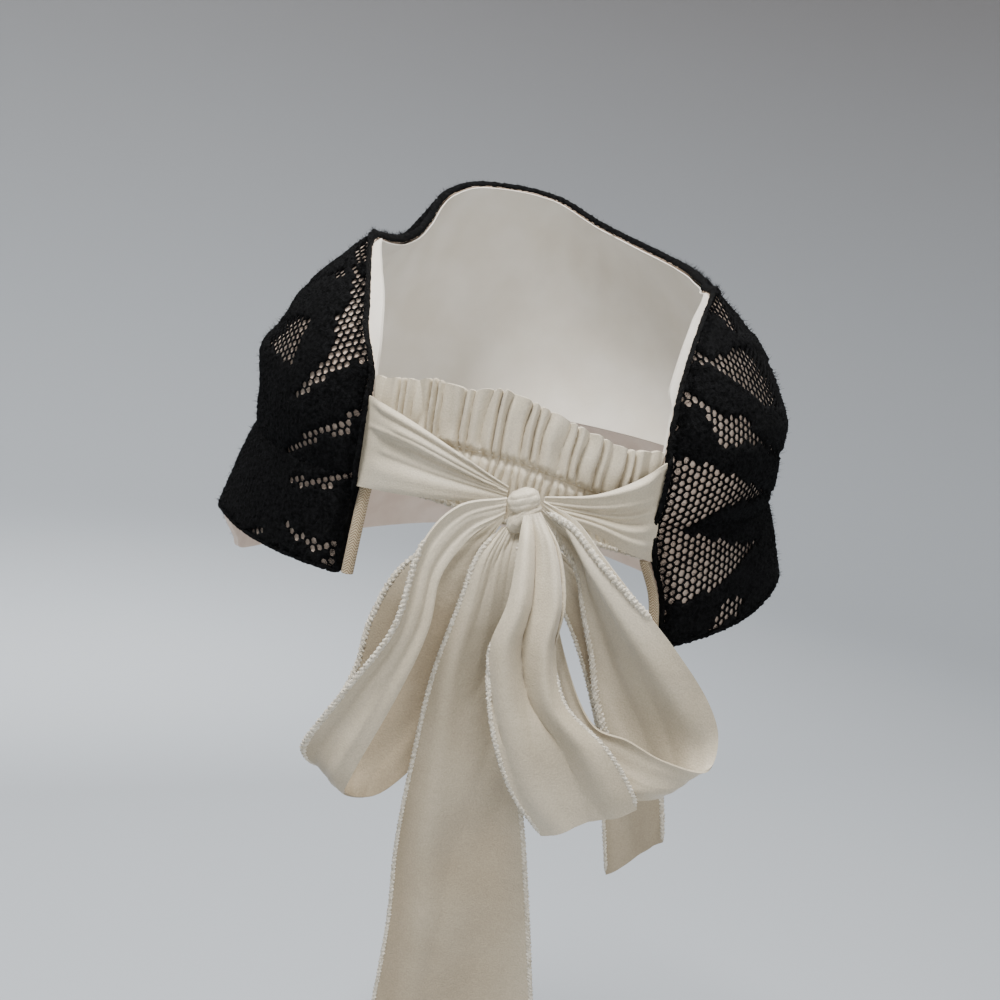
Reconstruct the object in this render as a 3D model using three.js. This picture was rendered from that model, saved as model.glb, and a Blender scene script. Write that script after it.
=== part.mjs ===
// Sun visor hat: a crown ring without a top, a sloping peak, and a back gap closed by a gathered
// elastic casing and two silk ties in a bow. Millimetres. +Y is the front, +X the wearer's right,
// +Z up. The origin is the middle of the head opening, on the plane where crown and peak meet.
import * as THREE from "three";
import { mergeVertices } from "three/addons/utils/BufferGeometryUtils.js";

// Half widths of the head opening
const HEAD_X = 83;
const HEAD_Y = 97;

// Cloth walls, outside to inside, and the gap between two pieces
const LACE = 1.2;
const CLOTH = 1.2;
const LINING = 1.0;
const PEAK_CLOTH = 2.2;
const SILK = 1.0;
const GAP = 0.3;

// The meridian of the crown: it leans out over the pinch, then curves in to the rim
const CROWN_GRID = { around: 40, up: 8 };
const BULGE = { lowScale: 1.09, lowHeight: 0.38, highScale: 0.93, highHeight: 0.76 };

// Left and right back edges, in degrees from the front: at the foot of the peak (-1), the pinch (0)
// and the rim (1)
const BACK = table(["at", "left", "right"], [
  [-1, 149.9, 147.5],
  [-0.6, 150.3, 148.6],
  [-0.25, 150.7, 151],
  [0, 151, 152.1],
  [0.3, 151.7, 152],
  [0.5, 149.6, 149.8],
  [0.7, 144.2, 144.3],
  [0.85, 136.9, 136.9],
  [1, 126, 126],
]);

// Rim of the crown: degrees from the front, size against the head opening, height
const RIM = table(["at", "scale", "height"], [
  [-126, 0.735, 64],
  [-100, 0.60, 63],
  [-75, 0.58, 64],
  [-55, 0.62, 71],
  [-40, 0.72, 82],
  [-25, 0.75, 87.5],
  [0, 0.74, 87],
  [20, 0.73, 79],
  [40, 0.72, 73],
  [65, 0.66, 68],
  [90, 0.62, 65],
  [110, 0.65, 63],
  [126, 0.735, 63],
]);

// Peak: degrees from the front, how far its edge stands out from the pinch, how far it hangs
const PEAK = table(["at", "reach", "drop"], [
  [-152, 1, 26],
  [-125, 4, 28],
  [-100, 10, 30],
  [-90, 12, 38],
  [-75, 18, 53],
  [-60, 33, 66],
  [-35, 46, 68],
  [0, 54, 61],
  [35, 46, 66],
  [60, 30, 62],
  [75, 18, 46],
  [90, 11, 31],
  [100, 9, 25],
  [125, 5, 30],
  [152, 1, 35.3],
]);

const PEAK_GRID = { around: 44, down: 3 };
const PEAK_CURVE = { out: 0.9, down: 1.1 };
const LACE_SHARE = 0.96;

// Lining past the left and right back edges, where it is turned out
const TURNOUT = { width: 2.5, from: 30, to: 36 };

// Twill hem on the back ends of the peak
const HEM = { left: 3.6, right: 2.8, thick: 3.0, sides: 8, steps: 5 };

// Elastic casing: place across the gap, top, bottom, and depth of the stitch line between two puffs
const CASING = table(["at", "top", "bottom"], [
  [0, 28, -1],
  [0.22, 29.5, -0.5],
  [0.42, 29.8, -2.5],
  [0.53, 29.2, -3.5],
  [0.72, 23.4, -5],
  [0.86, 20.4, -7],
  [1, 19.4, -9.6],
]);
const CASING_FORM = {
  depth: -94.2, thick: 2.2, puff: 1.1, gathers: 16, lean: 0.012, stitch: 0.52, stitchWidth: 0.1, root: 0.5,
  turn: 27,
};
const CASING_GRID = { across: 64, down: 4 };

// Knot
const KNOT = {
  x: 4.3, y: -104.5, z: 4, halfX: 4.3, halfY: 4, halfZ: 5.6, square: 0.7, crease: 0.08, creases: 9,
};

// Silk pieces: a row for each section, from the back edge or the knot. First edge, second edge,
// and how deep the folds between them are.
const EDGES = ["x1", "y1", "z1", "x2", "y2", "z2", "fold"];
const TIE_ROOT = {
  out: 1.8, past: 1.4, fold: 0.4, left: { top: 23.2, bottom: -1.5 }, right: { top: 18, bottom: -9.4 },
};
const LEFT_TIE = table(EDGES, [
  [-28.5, -95.6, 19.8, -27.2, -96.0, 0.2, 1.2],
  [-15.2, -99.8, 14.4, -14.7, -99.8, 1.6, 0.9],
  [-0.4, -101.6, 7.6, -0.4, -101.6, 3.6, 0],
]);
const RIGHT_TIE = table(EDGES, [
  [30.3, -95.0, 11.9, 32.1, -95.4, -5.8, 1.2],
  [21.0, -98.8, 8.2, 22.3, -98.8, -1.0, 0.9],
  [9.0, -101.6, 6.4, 9.0, -101.6, 2.6, 0],
]);
const LEFT_LOOP = table(EDGES, [
  [-0.3, -106.2, 5.6, -0.3, -106.2, 1.3, 0],
  [-11.9, -112.0, 2.7, -7.9, -110.0, -4.8, 1],
  [-19.1, -116.0, -7.7, -13.4, -114.0, -14.7, 1],
  [-22.9, -119.0, -28.2, -14.5, -116.0, -28.0, 1],
  [-33.5, -119.0, -48.0, -19.5, -117.0, -45.6, 1],
  [-41.7, -114.0, -64.7, -28.2, -116.0, -69.5, 1],
  [-37.9, -108.0, -70.8, -29.3, -110.0, -78.2, 0.5],
  [-36.7, -102.0, -59.5, -19.9, -105.0, -77.7, 1],
  [-32.5, -100.0, -47.2, -7.9, -102.4, -60.3, 1.2],
  [-30.2, -100.0, -32.3, -6.7, -102.4, -36.8, 1.2],
  [-22.5, -101.0, -15.5, -6.1, -103.0, -16.3, 1],
  [-0.3, -103.6, 2.8, -0.3, -103.6, -0.4, 0],
]);
const RIGHT_LOOP = table(EDGES, [
  [8.9, -105.6, 6.2, 8.9, -104.4, 1.6, 0],
  [17.6, -109.0, 3.2, 18.6, -105.0, -8.3, 1],
  [25.7, -112.0, -4.2, 23.3, -104.0, -20.6, 1],
  [36.1, -113.0, -14.3, 27.7, -103.0, -33.8, 1.5],
  [47.1, -112.0, -24.7, 31.3, -103.0, -45.7, 1.5],
  [57.8, -109.0, -37.4, 37.1, -104.0, -56.9, 1.5],
  [62.7, -108.0, -47.5, 46.9, -108.0, -64.7, 1],
  [60.5, -112.0, -54.9, 50.2, -113.0, -64.0, 0.5],
  [48.8, -116.0, -52.6, 43.7, -117.0, -63.9, 0.5],
  [39.0, -116.0, -48.8, 34.1, -116.0, -64.4, 1],
  [29.1, -114.0, -46.2, 22.9, -114.0, -54.9, 1],
  [19.8, -111.5, -30.2, 12.2, -111.5, -36.6, 0.5],
  [9.6, -107.4, -2.1, 6.2, -107.4, -2.1, 0],
]);
const SHORT_TAIL = table(EDGES, [
  [4.4, -109.4, 2.4, 8.4, -109.4, 4.0, 0],
  [4.3, -114.0, -5.6, 14.5, -113.0, -4.2, 1],
  [3.8, -119.0, -17.1, 17.9, -116.0, -16.2, 1.5],
  [1.3, -121.0, -29.1, 17.4, -118.0, -28.0, 1.5],
  [3.2, -122.0, -42.7, 21.6, -120.0, -40.3, 1.5],
  [7.0, -122.0, -54.5, 33.4, -121.0, -49.6, 1.5],
  [13.0, -121.0, -66.1, 41.1, -120.0, -59.4, 1.5],
  [21.5, -119.0, -76.4, 44.0, -119.0, -65.4, 1],
]);
const LONG_TAIL = table(EDGES, [
  [-0.6, -105.6, -2.0, 4.4, -105.6, -2.0, 0],
  [-5.5, -109.0, -9.5, 4.9, -108.0, -11.3, 0.5],
  [-8.1, -109.4, -22.4, 6.4, -108.4, -27.5, 1],
  [-12.1, -108.8, -43.3, 9.1, -107.8, -46.4, 1.3],
  [-13.9, -108.0, -66.2, 13.9, -107.0, -67.1, 1.6],
  [-15.0, -106.0, -91.7, 18.9, -105.0, -88.4, 2],
  [-14.2, -105.0, -115.1, 23.4, -105.0, -110.0, 2],
  [-15.0, -104.0, -140.6, 27.9, -104.0, -133.0, 2],
  [-16.2, -104.0, -159.9, 31.4, -104.0, -151.4, 2],
]);
const REAR_TAIL = table(EDGES, [
  [4.4, -102.4, -2.0, 8.4, -102.4, -2.0, 0],
  [16.1, -100.4, -18.9, 27.1, -99.6, -16.1, 0.5],
  [25.0, -99.0, -34.3, 38.9, -97.0, -31.3, 1],
  [33.7, -97.0, -56.3, 48.3, -96.0, -52.8, 1],
  [38.8, -96.0, -77.9, 53.9, -95.0, -71.4, 1],
  [43.0, -95.0, -97.1, 56.7, -95.0, -85.0, 1],
]);

// Colours, roughness: lace, cloth, lining, silk and twill
const FINISH = {
  lace: { color: 0x17171b, roughness: 0.95, metalness: 0 },
  cloth: { color: 0xd9c3ae, roughness: 0.9, metalness: 0 },
  lining: { color: 0xece5d6, roughness: 0.85, metalness: 0 },
  silk: { color: 0xe9e2d3, roughness: 0.6, metalness: 0 },
  twill: { color: 0xcdb79f, roughness: 0.9, metalness: 0 },
};

// Rows of numbers under named columns
function table(columns, rows) {
  return rows.map((row) => Object.fromEntries(columns.map((column, i) => [column, row[i]])));
}

// The value of one column at any place: a cubic between the rows, level past both ends. Rows without
// a place of their own are evenly spaced from 0 to 1.
function along(rows, column, place) {
  const at = rows.map((row, i) => row.at ?? i / (rows.length - 1));
  const last = rows.length - 1;
  const x = Math.min(Math.max(place, at[0]), at[last]);
  let k = 0;
  while (k < last - 1 && x > at[k + 1]) k += 1;
  const slope = (i) => {
    const a = Math.max(i - 1, 0);
    const b = Math.min(i + 1, last);
    return (rows[b][column] - rows[a][column]) / (at[b] - at[a]);
  };
  const width = at[k + 1] - at[k];
  const f = (x - at[k]) / width;
  const rise = rows[k + 1][column] - rows[k][column];
  const bend0 = slope(k) * width - rise;
  const bend1 = rise - slope(k + 1) * width;
  return rows[k][column] + rise * f + f * (1 - f) * (bend0 * (1 - f) + bend1 * f);
}

function bezier(v, a, b, c, d) {
  const w = 1 - v;
  return w * w * w * a + 3 * w * w * v * b + 3 * w * v * v * c + v * v * v * d;
}

function smooth(x, low, high) {
  const f = Math.min(Math.max((x - low) / (high - low), 0), 1);
  return f * f * (3 - 2 * f);
}

const radians = THREE.MathUtils.degToRad;

// Level outward direction of the head opening at an angle from the front
function outward(angle) {
  const t = radians(angle);
  return new THREE.Vector3(Math.sin(t) / HEAD_X, Math.cos(t) / HEAD_Y, 0).normalize();
}

// Direction along the head opening towards growing angles
function around(angle) {
  const t = radians(angle);
  return new THREE.Vector3(HEAD_X * Math.cos(t), -HEAD_Y * Math.sin(t), 0).normalize();
}

// Angle of a back edge, with its side's sign: at runs from -1 at the foot to 1 at the rim
function backAngle(side, at) {
  return side * along(BACK, side < 0 ? "left" : "right", at);
}

// How far the peak hangs at a back edge
function backDrop(side) {
  return along(PEAK, "drop", backAngle(side, -1));
}

// Middle line of the crown's wall: angle from the front, and 0 at the pinch to 1 at the rim
function crownLine(angle, v) {
  const top = along(RIM, "height", angle);
  const scale = bezier(v, 1, BULGE.lowScale, BULGE.highScale, along(RIM, "scale", angle));
  const z = bezier(v, 0, BULGE.lowHeight * top, BULGE.highHeight * top, top);
  const t = radians(angle);
  return new THREE.Vector3(HEAD_X * scale * Math.sin(t), HEAD_Y * scale * Math.cos(t), z);
}

// Peak: 0 at the pinch to 1 at its edge
function peakLine(angle, u) {
  const t = radians(angle);
  const start = new THREE.Vector3(HEAD_X * Math.sin(t), HEAD_Y * Math.cos(t), 0);
  start.addScaledVector(outward(angle), along(PEAK, "reach", angle) * u ** PEAK_CURVE.out);
  start.z = -along(PEAK, "drop", angle) * u ** PEAK_CURVE.down;
  return start;
}

// A point of a wall, moved out from its line by a distance; level at the pinch, where two walls meet
function offset(line, angle, v, distance) {
  const step = 0.01;
  const p = line(angle, v);
  const up = line(angle, Math.min(v + step, 1)).sub(line(angle, Math.max(v - step, 0)));
  const side = line(angle + 1, v).sub(line(angle - 1, v));
  const normal = side.cross(up).normalize();
  if (normal.dot(outward(angle)) < 0) normal.negate();
  normal.lerp(outward(angle), 1 - smooth(v, 0, 0.25)).normalize();
  return p.addScaledVector(normal, distance);
}

// A closed solid between two sheets of points, front(i, j) and back(i, j)
function slab(rows, columns, front, back) {
  const points = [];
  const index = [];
  const id = (side, i, j) => side * (rows + 1) * (columns + 1) + i * (columns + 1) + j;
  for (const sheet of [front, back]) {
    for (let i = 0; i <= rows; i += 1) {
      for (let j = 0; j <= columns; j += 1) points.push(...sheet(i / rows, j / columns).toArray());
    }
  }
  const quad = (a, b, c, d) => index.push(a, b, c, a, c, d);
  for (let i = 0; i < rows; i += 1) {
    for (let j = 0; j < columns; j += 1) {
      quad(id(0, i, j), id(0, i + 1, j), id(0, i + 1, j + 1), id(0, i, j + 1));
      quad(id(1, i, j), id(1, i, j + 1), id(1, i + 1, j + 1), id(1, i + 1, j));
    }
    quad(id(0, i, 0), id(1, i, 0), id(1, i + 1, 0), id(0, i + 1, 0));
    quad(id(0, i + 1, columns), id(1, i + 1, columns), id(1, i, columns), id(0, i, columns));
  }
  for (let j = 0; j < columns; j += 1) {
    quad(id(0, 0, j + 1), id(1, 0, j + 1), id(1, 0, j), id(0, 0, j));
    quad(id(0, rows, j), id(1, rows, j), id(1, rows, j + 1), id(0, rows, j + 1));
  }
  return solid(points, index);
}

// Geometry of a closed body, with its faces turned out
function solid(points, index) {
  const p = (i) => new THREE.Vector3().fromArray(points, 3 * i);
  let volume = 0;
  for (let k = 0; k < index.length; k += 3) {
    volume += p(index[k]).dot(p(index[k + 1]).cross(p(index[k + 2])));
  }
  const turned = volume < 0 ? index.slice().reverse() : index;
  const geometry = new THREE.BufferGeometry();
  geometry.setAttribute("position", new THREE.Float32BufferAttribute(points, 3));
  geometry.setIndex(turned);
  geometry.computeVertexNormals();
  return geometry;
}

// A wall of the crown between two distances from its line; past is how far it runs into the gap
function crownWall(outer, inner, past = () => 0) {
  const face = (distance) => (i, j) => {
    const angle = THREE.MathUtils.lerp(backAngle(-1, j), backAngle(1, j), i);
    const p = offset(crownLine, angle, j, distance);
    p.z += GAP / 2 * (1 - j);
    const ends = i === 0 ? -1 : (i === 1 ? 1 : 0);
    return p.addScaledVector(around(angle), ends * past(p.z));
  };
  return slab(CROWN_GRID.around, CROWN_GRID.up, face(outer), face(inner));
}

// A wall of the peak, as far as a share of the way to its edge
function peakWall(outer, inner, reach) {
  const face = (distance) => (i, j) => {
    const angle = THREE.MathUtils.lerp(backAngle(-1, -j * reach), backAngle(1, -j * reach), i);
    const p = offset(peakLine, angle, j * reach, distance);
    p.z -= GAP / 2 * (1 - j);
    return p;
  };
  return slab(PEAK_GRID.around, PEAK_GRID.down, face(outer), face(inner));
}

// A point at a back edge of the hat: side -1 left or 1 right, height, distance out, distance past it
function backEdge(side, height, out, past) {
  const u = Math.max(-height, 0) / backDrop(side);
  let angle = backAngle(side, -u);
  let p = peakLine(angle, u);
  let low = 0;
  let high = 1;
  if (height > 0) {
    for (let k = 0; k < 30; k += 1) {
      const v = (low + high) / 2;
      angle = backAngle(side, v);
      p = crownLine(angle, v);
      if (p.z < height) low = v; else high = v;
    }
  }
  p.z = height;
  p.addScaledVector(outward(angle), out);
  return p.addScaledVector(around(angle), side * past);
}

// Rolled hem along the back end of the peak
function endHem(side) {
  const foot = -backDrop(side);
  const width = side < 0 ? HEM.left : HEM.right;
  const head = (side < 0 ? CASING[0] : CASING.at(-1)).bottom - 2 * GAP;
  const height = (f) => THREE.MathUtils.lerp(head, foot, f);
  const middle = (f) => backEdge(side, height(f), -PEAK_CLOTH / 2, GAP + width / 2);
  const ring = (f, turn) => {
    const angle = backAngle(side, -height(f) / foot);
    return middle(f)
      .addScaledVector(outward(angle), HEM.thick / 2 * Math.sin(turn))
      .addScaledVector(around(angle), width / 2 * Math.cos(turn));
  };
  return tube(HEM.steps, HEM.sides, ring);
}

// A closed tube of rings, each given by ring(place, turn)
function tube(steps, sides, ring) {
  const points = [];
  const index = [];
  for (let i = 0; i <= steps; i += 1) {
    for (let j = 0; j < sides; j += 1) points.push(...ring(i / steps, 2 * Math.PI * j / sides).toArray());
  }
  const id = (i, j) => i * sides + (j % sides);
  for (let i = 0; i < steps; i += 1) {
    for (let j = 0; j < sides; j += 1) {
      index.push(id(i, j), id(i + 1, j), id(i + 1, j + 1), id(i, j), id(i + 1, j + 1), id(i, j + 1));
    }
  }
  for (let j = 1; j < sides - 1; j += 1) {
    index.push(id(0, 0), id(0, j), id(0, j + 1));
    index.push(id(steps, 0), id(steps, j + 1), id(steps, j));
  }
  return solid(points, index);
}

// Casing: two rows of puffs that the gathers cut into, above and below a stitch line
function casingSolid() {
  const { depth, thick, puff, gathers, lean, stitch, stitchWidth, root, turn } = CASING_FORM;
  const rootOut = -CLOTH - LINING / 2;
  const face = (distance, puffed) => (i, j) => {
    const height = (side, f) => THREE.MathUtils.lerp(side.top, side.bottom, f);
    const left = backEdge(-1, height(CASING[0], j), rootOut, root);
    const right = backEdge(1, height(CASING.at(-1), j), rootOut, root);
    const reach = 4 * i * (1 - i);
    const p = left.clone().lerp(right, i);
    p.y += (depth - (left.y + right.y) / 2) * reach;
    p.z = THREE.MathUtils.lerp(along(CASING, "top", i), along(CASING, "bottom", i), j);
    const flat = Math.exp(-(((j - stitch) / stitchWidth) ** 2));
    const wave = Math.abs(Math.sin(Math.PI * gathers * (i + lean * Math.sin(5 * j)))) - 0.4;
    const lift = puffed * puff * wave * (1 - 0.7 * flat) * Math.min(1, 3 * reach);
    const facing = outward(180 + (1 - 2 * i) * turn);
    return p.addScaledVector(facing, distance + lift);
  };
  return slab(CASING_GRID.across, CASING_GRID.down, face(thick / 2, 1), face(-thick / 2, 0.5));
}

// A band of silk between two edges, with lengthwise folds across it
function silkBand(rows, folds, steps, columns) {
  const edge = (n, f) => new THREE.Vector3(
    along(rows, `x${n}`, f), along(rows, `y${n}`, f), along(rows, `z${n}`, f));
  const frame = (f) => {
    const step = 0.01;
    const a = Math.max(f - step, 0);
    const b = Math.min(f + step, 1);
    const run = edge(1, b).add(edge(2, b)).sub(edge(1, a)).sub(edge(2, a));
    return edge(2, f).sub(edge(1, f)).cross(run).normalize();
  };
  const middle = (f, w) => edge(1, f).lerp(edge(2, f), w)
    .addScaledVector(frame(f), along(rows, "fold", f) * Math.sin(Math.PI * folds * w));
  const face = (distance) => (f, w) => {
    const step = 0.005;
    const run = middle(Math.min(f + step, 1), w).sub(middle(Math.max(f - step, 0), w));
    const across = middle(f, Math.min(w + step, 1)).sub(middle(f, Math.max(w - step, 0)));
    return middle(f, w).addScaledVector(across.cross(run).normalize(), distance);
  };
  return slab(steps, columns, face(SILK / 2), face(-SILK / 2));
}

// A tie starts at the back edge of the crown, outside the casing
function tieRows(side, { top, bottom }, rows) {
  const first = backEdge(side, top, TIE_ROOT.out, TIE_ROOT.past);
  const second = backEdge(side, bottom, TIE_ROOT.out, TIE_ROOT.past);
  const root = { x1: first.x, y1: first.y, z1: top, x2: second.x, y2: second.y, z2: bottom };
  return [{ ...root, fold: TIE_ROOT.fold }, ...rows];
}

// Knot: a rounded block with creases where the silk wraps over it
function knotSolid() {
  const ball = new THREE.SphereGeometry(1, 16, 10);
  ball.deleteAttribute("normal");
  ball.deleteAttribute("uv");
  const knot = mergeVertices(ball);
  const position = knot.getAttribute("position");
  const blocky = (c) => Math.sign(c) * Math.abs(c) ** KNOT.square;
  for (let k = 0; k < position.count; k += 1) {
    const p = new THREE.Vector3().fromBufferAttribute(position, k);
    const crease = 1 - KNOT.crease * Math.cos(KNOT.creases * p.x);
    position.setXYZ(
      k,
      KNOT.x + KNOT.halfX * blocky(p.x),
      KNOT.y + KNOT.halfY * blocky(p.y) * crease,
      KNOT.z + KNOT.halfZ * blocky(p.z),
    );
  }
  knot.computeVertexNormals();
  return knot;
}

const hat = new THREE.Group();

function add(name, geometry, finish) {
  const mesh = new THREE.Mesh(geometry, new THREE.MeshStandardMaterial(FINISH[finish]));
  mesh.name = name;
  hat.add(mesh);
}

// Silk bands: folds across each, and its grid
const SILK_BANDS = [
  { name: "left_tie", rows: tieRows(-1, TIE_ROOT.left, LEFT_TIE), folds: 7, steps: 8, columns: 14 },
  { name: "right_tie", rows: tieRows(1, TIE_ROOT.right, RIGHT_TIE), folds: 7, steps: 8, columns: 14 },
  { name: "left_loop", rows: LEFT_LOOP, folds: 2, steps: 28, columns: 4 },
  { name: "right_loop", rows: RIGHT_LOOP, folds: 2, steps: 30, columns: 4 },
  { name: "long_tail", rows: LONG_TAIL, folds: 3, steps: 14, columns: 6 },
  { name: "short_tail", rows: SHORT_TAIL, folds: 3, steps: 13, columns: 6 },
  { name: "rear_tail", rows: REAR_TAIL, folds: 2, steps: 9, columns: 4 },
];

const turnout = (z) => TURNOUT.width * smooth(z, TURNOUT.from, TURNOUT.to);
add("crown_lace", crownWall(GAP + LACE, GAP), "lace");
add("crown_cloth", crownWall(0, -CLOTH), "cloth");
add("crown_lining", crownWall(-CLOTH - GAP, -CLOTH - GAP - LINING, turnout), "lining");
add("visor_lace", peakWall(GAP + LACE, GAP, LACE_SHARE), "lace");
add("visor_cloth", peakWall(0, -PEAK_CLOTH, 1), "cloth");
add("left_end_hem", endHem(-1), "twill");
add("right_end_hem", endHem(1), "twill");
add("back_casing", casingSolid(), "silk");
add("bow_knot", knotSolid(), "silk");
for (const { name, rows, folds, steps, columns } of SILK_BANDS) {
  add(name, silkBand(rows, folds, steps, columns), "silk");
}

export default hat;
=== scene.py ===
"""Sun visor hat: a crown ring of knitted lace over beige cloth, a sloping peak, and a gathered casing
with silk ties in a bow. Shapes are worked out in millimetres and made in metres. +Y is the front,
+X the wearer's right, +Z up."""

import bmesh
import bpy
import numpy as np
from mathutils import Matrix, Vector


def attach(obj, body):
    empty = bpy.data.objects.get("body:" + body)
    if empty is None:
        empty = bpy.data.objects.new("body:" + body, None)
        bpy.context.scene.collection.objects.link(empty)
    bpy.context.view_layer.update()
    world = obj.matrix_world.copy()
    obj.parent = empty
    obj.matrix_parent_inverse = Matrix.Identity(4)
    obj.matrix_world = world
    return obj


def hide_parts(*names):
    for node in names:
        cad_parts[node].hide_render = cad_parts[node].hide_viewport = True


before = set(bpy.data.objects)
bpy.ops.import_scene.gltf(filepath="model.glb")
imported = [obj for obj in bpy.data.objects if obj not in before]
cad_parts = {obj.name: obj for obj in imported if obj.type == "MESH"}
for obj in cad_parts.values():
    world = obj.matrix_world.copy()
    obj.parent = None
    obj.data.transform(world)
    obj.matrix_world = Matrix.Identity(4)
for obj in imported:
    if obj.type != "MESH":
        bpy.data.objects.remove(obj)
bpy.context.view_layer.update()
MM = 0.001

# Camera: focal length in thousandths of the picture's width, tilt down, roll, distance from a point
CAMERA = dict(focal=1181, tilt=12, roll=9, distance=300, look=(-2, -100, 3.5))

# Head opening, walls and back edges, as in the solids
HEAD_X, HEAD_Y = 83, 97
GAP, CLOTH, LINING, PEAK_CLOTH = 0.3, 1.2, 1.0, 2.2
WORD = {-1: "left", 1: "right"}
# Thickness of the dressed silk, less than the solids' walls
SILK = 0.55
BULGE = dict(low_scale=1.09, low_height=0.38, high_scale=0.93, high_height=0.76)
# Soft dents and bumps of the crown: place, reach round and up, and height
DENTS = [(-101, 0.35, 16, 0.06, 1.3), (-101, 0.50, 16, 0.07, -1.0), (-98, 0.18, 18, 0.10, -2.3),
         (104, 0.36, 16, 0.06, 1.0), (100, 0.18, 16, 0.09, -0.9)]
# How far the lining's back ends stand past their edge, and the heights where that starts and is full
TURNOUT = dict(width=2.5, start=30, full=36)
# Widths of the two end hems, and their thickness
HEM = dict(left=3.6, right=2.8, thick=3.0)
# Lining: depth of its folds, of its seams and of its thinning at the rim, and the seams' angles
LINING_FORM = dict(fold=1.5, seam=0.4, rim=0.35, seams=(25, -31))

# Height of the floor under the hat, in metres
FLOOR = -0.42
# Soft lights: name, place, what each is turned to, width and power
LIGHTS = [
    ("key", (-0.38, -0.55, 1.35), (0, 0, 0), 0.4, 36),
    ("fill", (0.6, -1.4, 0.45), (0, 0, 0), 1.0, 11),
    ("top", (0.1, 0.25, 1.4), (0, 0, 0), 0.9, 26),
    ("wash", (-0.4, 0.6, 0.25), (-1.1, 2.2, -0.1), 0.8, 8)]


def table(columns, rows):
    """Rows of numbers under named columns."""
    return dict(zip(columns.split(), np.array(rows, float).T))


# Curves of the hat. RIM and PEAK go by degrees from the front. BACK gives the degrees of the back edges
# from the foot at -1 to the rim at 1, and TRIM what cloth and lace stop short of the lining there.
RIM = table("at scale height", [
    (-126, 0.735, 64), (-100, 0.60, 63), (-75, 0.58, 64), (-55, 0.62, 71), (-40, 0.72, 82),
    (-25, 0.75, 87.5), (0, 0.74, 87), (20, 0.73, 79), (40, 0.72, 73), (65, 0.66, 68),
    (90, 0.62, 65), (110, 0.65, 63), (126, 0.735, 63)])
BACK = table("at left right", [
    (-1, 149.9, 147.5), (-0.6, 150.3, 148.6), (-0.25, 150.7, 151), (0, 151, 152.1),
    (0.3, 151.7, 152), (0.5, 149.6, 149.8), (0.7, 144.2, 144.3), (0.85, 136.9, 136.9), (1, 126, 126)])
TRIM = table("at left right", [
    (-1, 0, 1.6), (-0.6, 0, 1.3), (-0.25, 0, 0), (0.4, 0, 0), (0.6, 3.0, 0), (1, 2.7, 0)])
PEAK = table("at reach drop", [
    (-152, 1, 26), (-125, 4, 28), (-100, 10, 30), (-90, 12, 38), (-75, 18, 53), (-60, 33, 66),
    (-35, 46, 68), (0, 54, 61), (35, 46, 66), (60, 30, 62), (75, 18, 46), (90, 11, 31),
    (100, 9, 25), (125, 5, 30), (152, 1, 35.3)])
# Heights of the casing's edges from left to right, and the rest of its form
CASING = table("at top bottom", [
    (0, 28, -1), (0.22, 29.5, -0.5), (0.42, 29.8, -2.5), (0.53, 29.2, -3.5), (0.72, 23.4, -5),
    (0.86, 20.4, -7), (1, 19.4, -9.6)])
CASING_FORM = dict(depth=-94.2, thick=1.2, gathers=23, stitch=0.52, root=0.5, turn=27)
KNOT = dict(upper=(3.9, -105.2, 5.4), lower=(4.5, -105.2, 1.3), square=0.85)

# Silk bands: first edge, second edge and depth of the folds between them, from root to end
EDGES = "x1 y1 z1 x2 y2 z2 fold"
TIE_ROOT = dict(out=1.8, past=1.4, left=(23.2, -1.5), right=(18, -9.4))
LEFT_TIE = [
    (-28.5, -95.6, 19.8, -27.2, -96.0, 0.2, 1.2), (-15.2, -99.8, 14.4, -14.7, -99.8, 1.6, 0.9),
    (-0.4, -101.6, 7.6, -0.4, -101.6, 3.6, 0)]
RIGHT_TIE = [
    (30.3, -95.0, 11.9, 32.1, -95.4, -5.8, 1.2), (21.0, -98.8, 8.2, 22.3, -98.8, -1.0, 0.9),
    (9.0, -101.6, 6.4, 9.0, -101.6, 2.6, 0)]
LEFT_LOOP = table(EDGES, [
    (-0.3, -106.2, 5.6, -0.3, -106.2, 1.3, 0), (-11.9, -112.0, 2.7, -7.9, -110.0, -4.8, 1),
    (-19.1, -116.0, -7.7, -13.4, -114.0, -14.7, 1), (-22.9, -119.0, -28.2, -14.5, -116.0, -28.0, 1),
    (-33.5, -119.0, -48.0, -19.5, -117.0, -45.6, 1), (-41.7, -114.0, -64.7, -28.2, -116.0, -69.5, 1),
    (-37.9, -108.0, -70.8, -29.3, -110.0, -78.2, 0.5),
    (-36.7, -102.0, -59.5, -19.9, -105.0, -77.7, 1),
    (-32.5, -100.0, -47.2, -7.9, -102.4, -60.3, 1.2),
    (-30.2, -100.0, -32.3, -6.7, -102.4, -36.8, 1.2),
    (-22.5, -101.0, -15.5, -6.1, -103.0, -16.3, 1), (-0.3, -103.6, 2.8, -0.3, -103.6, -0.4, 0)])
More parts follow.
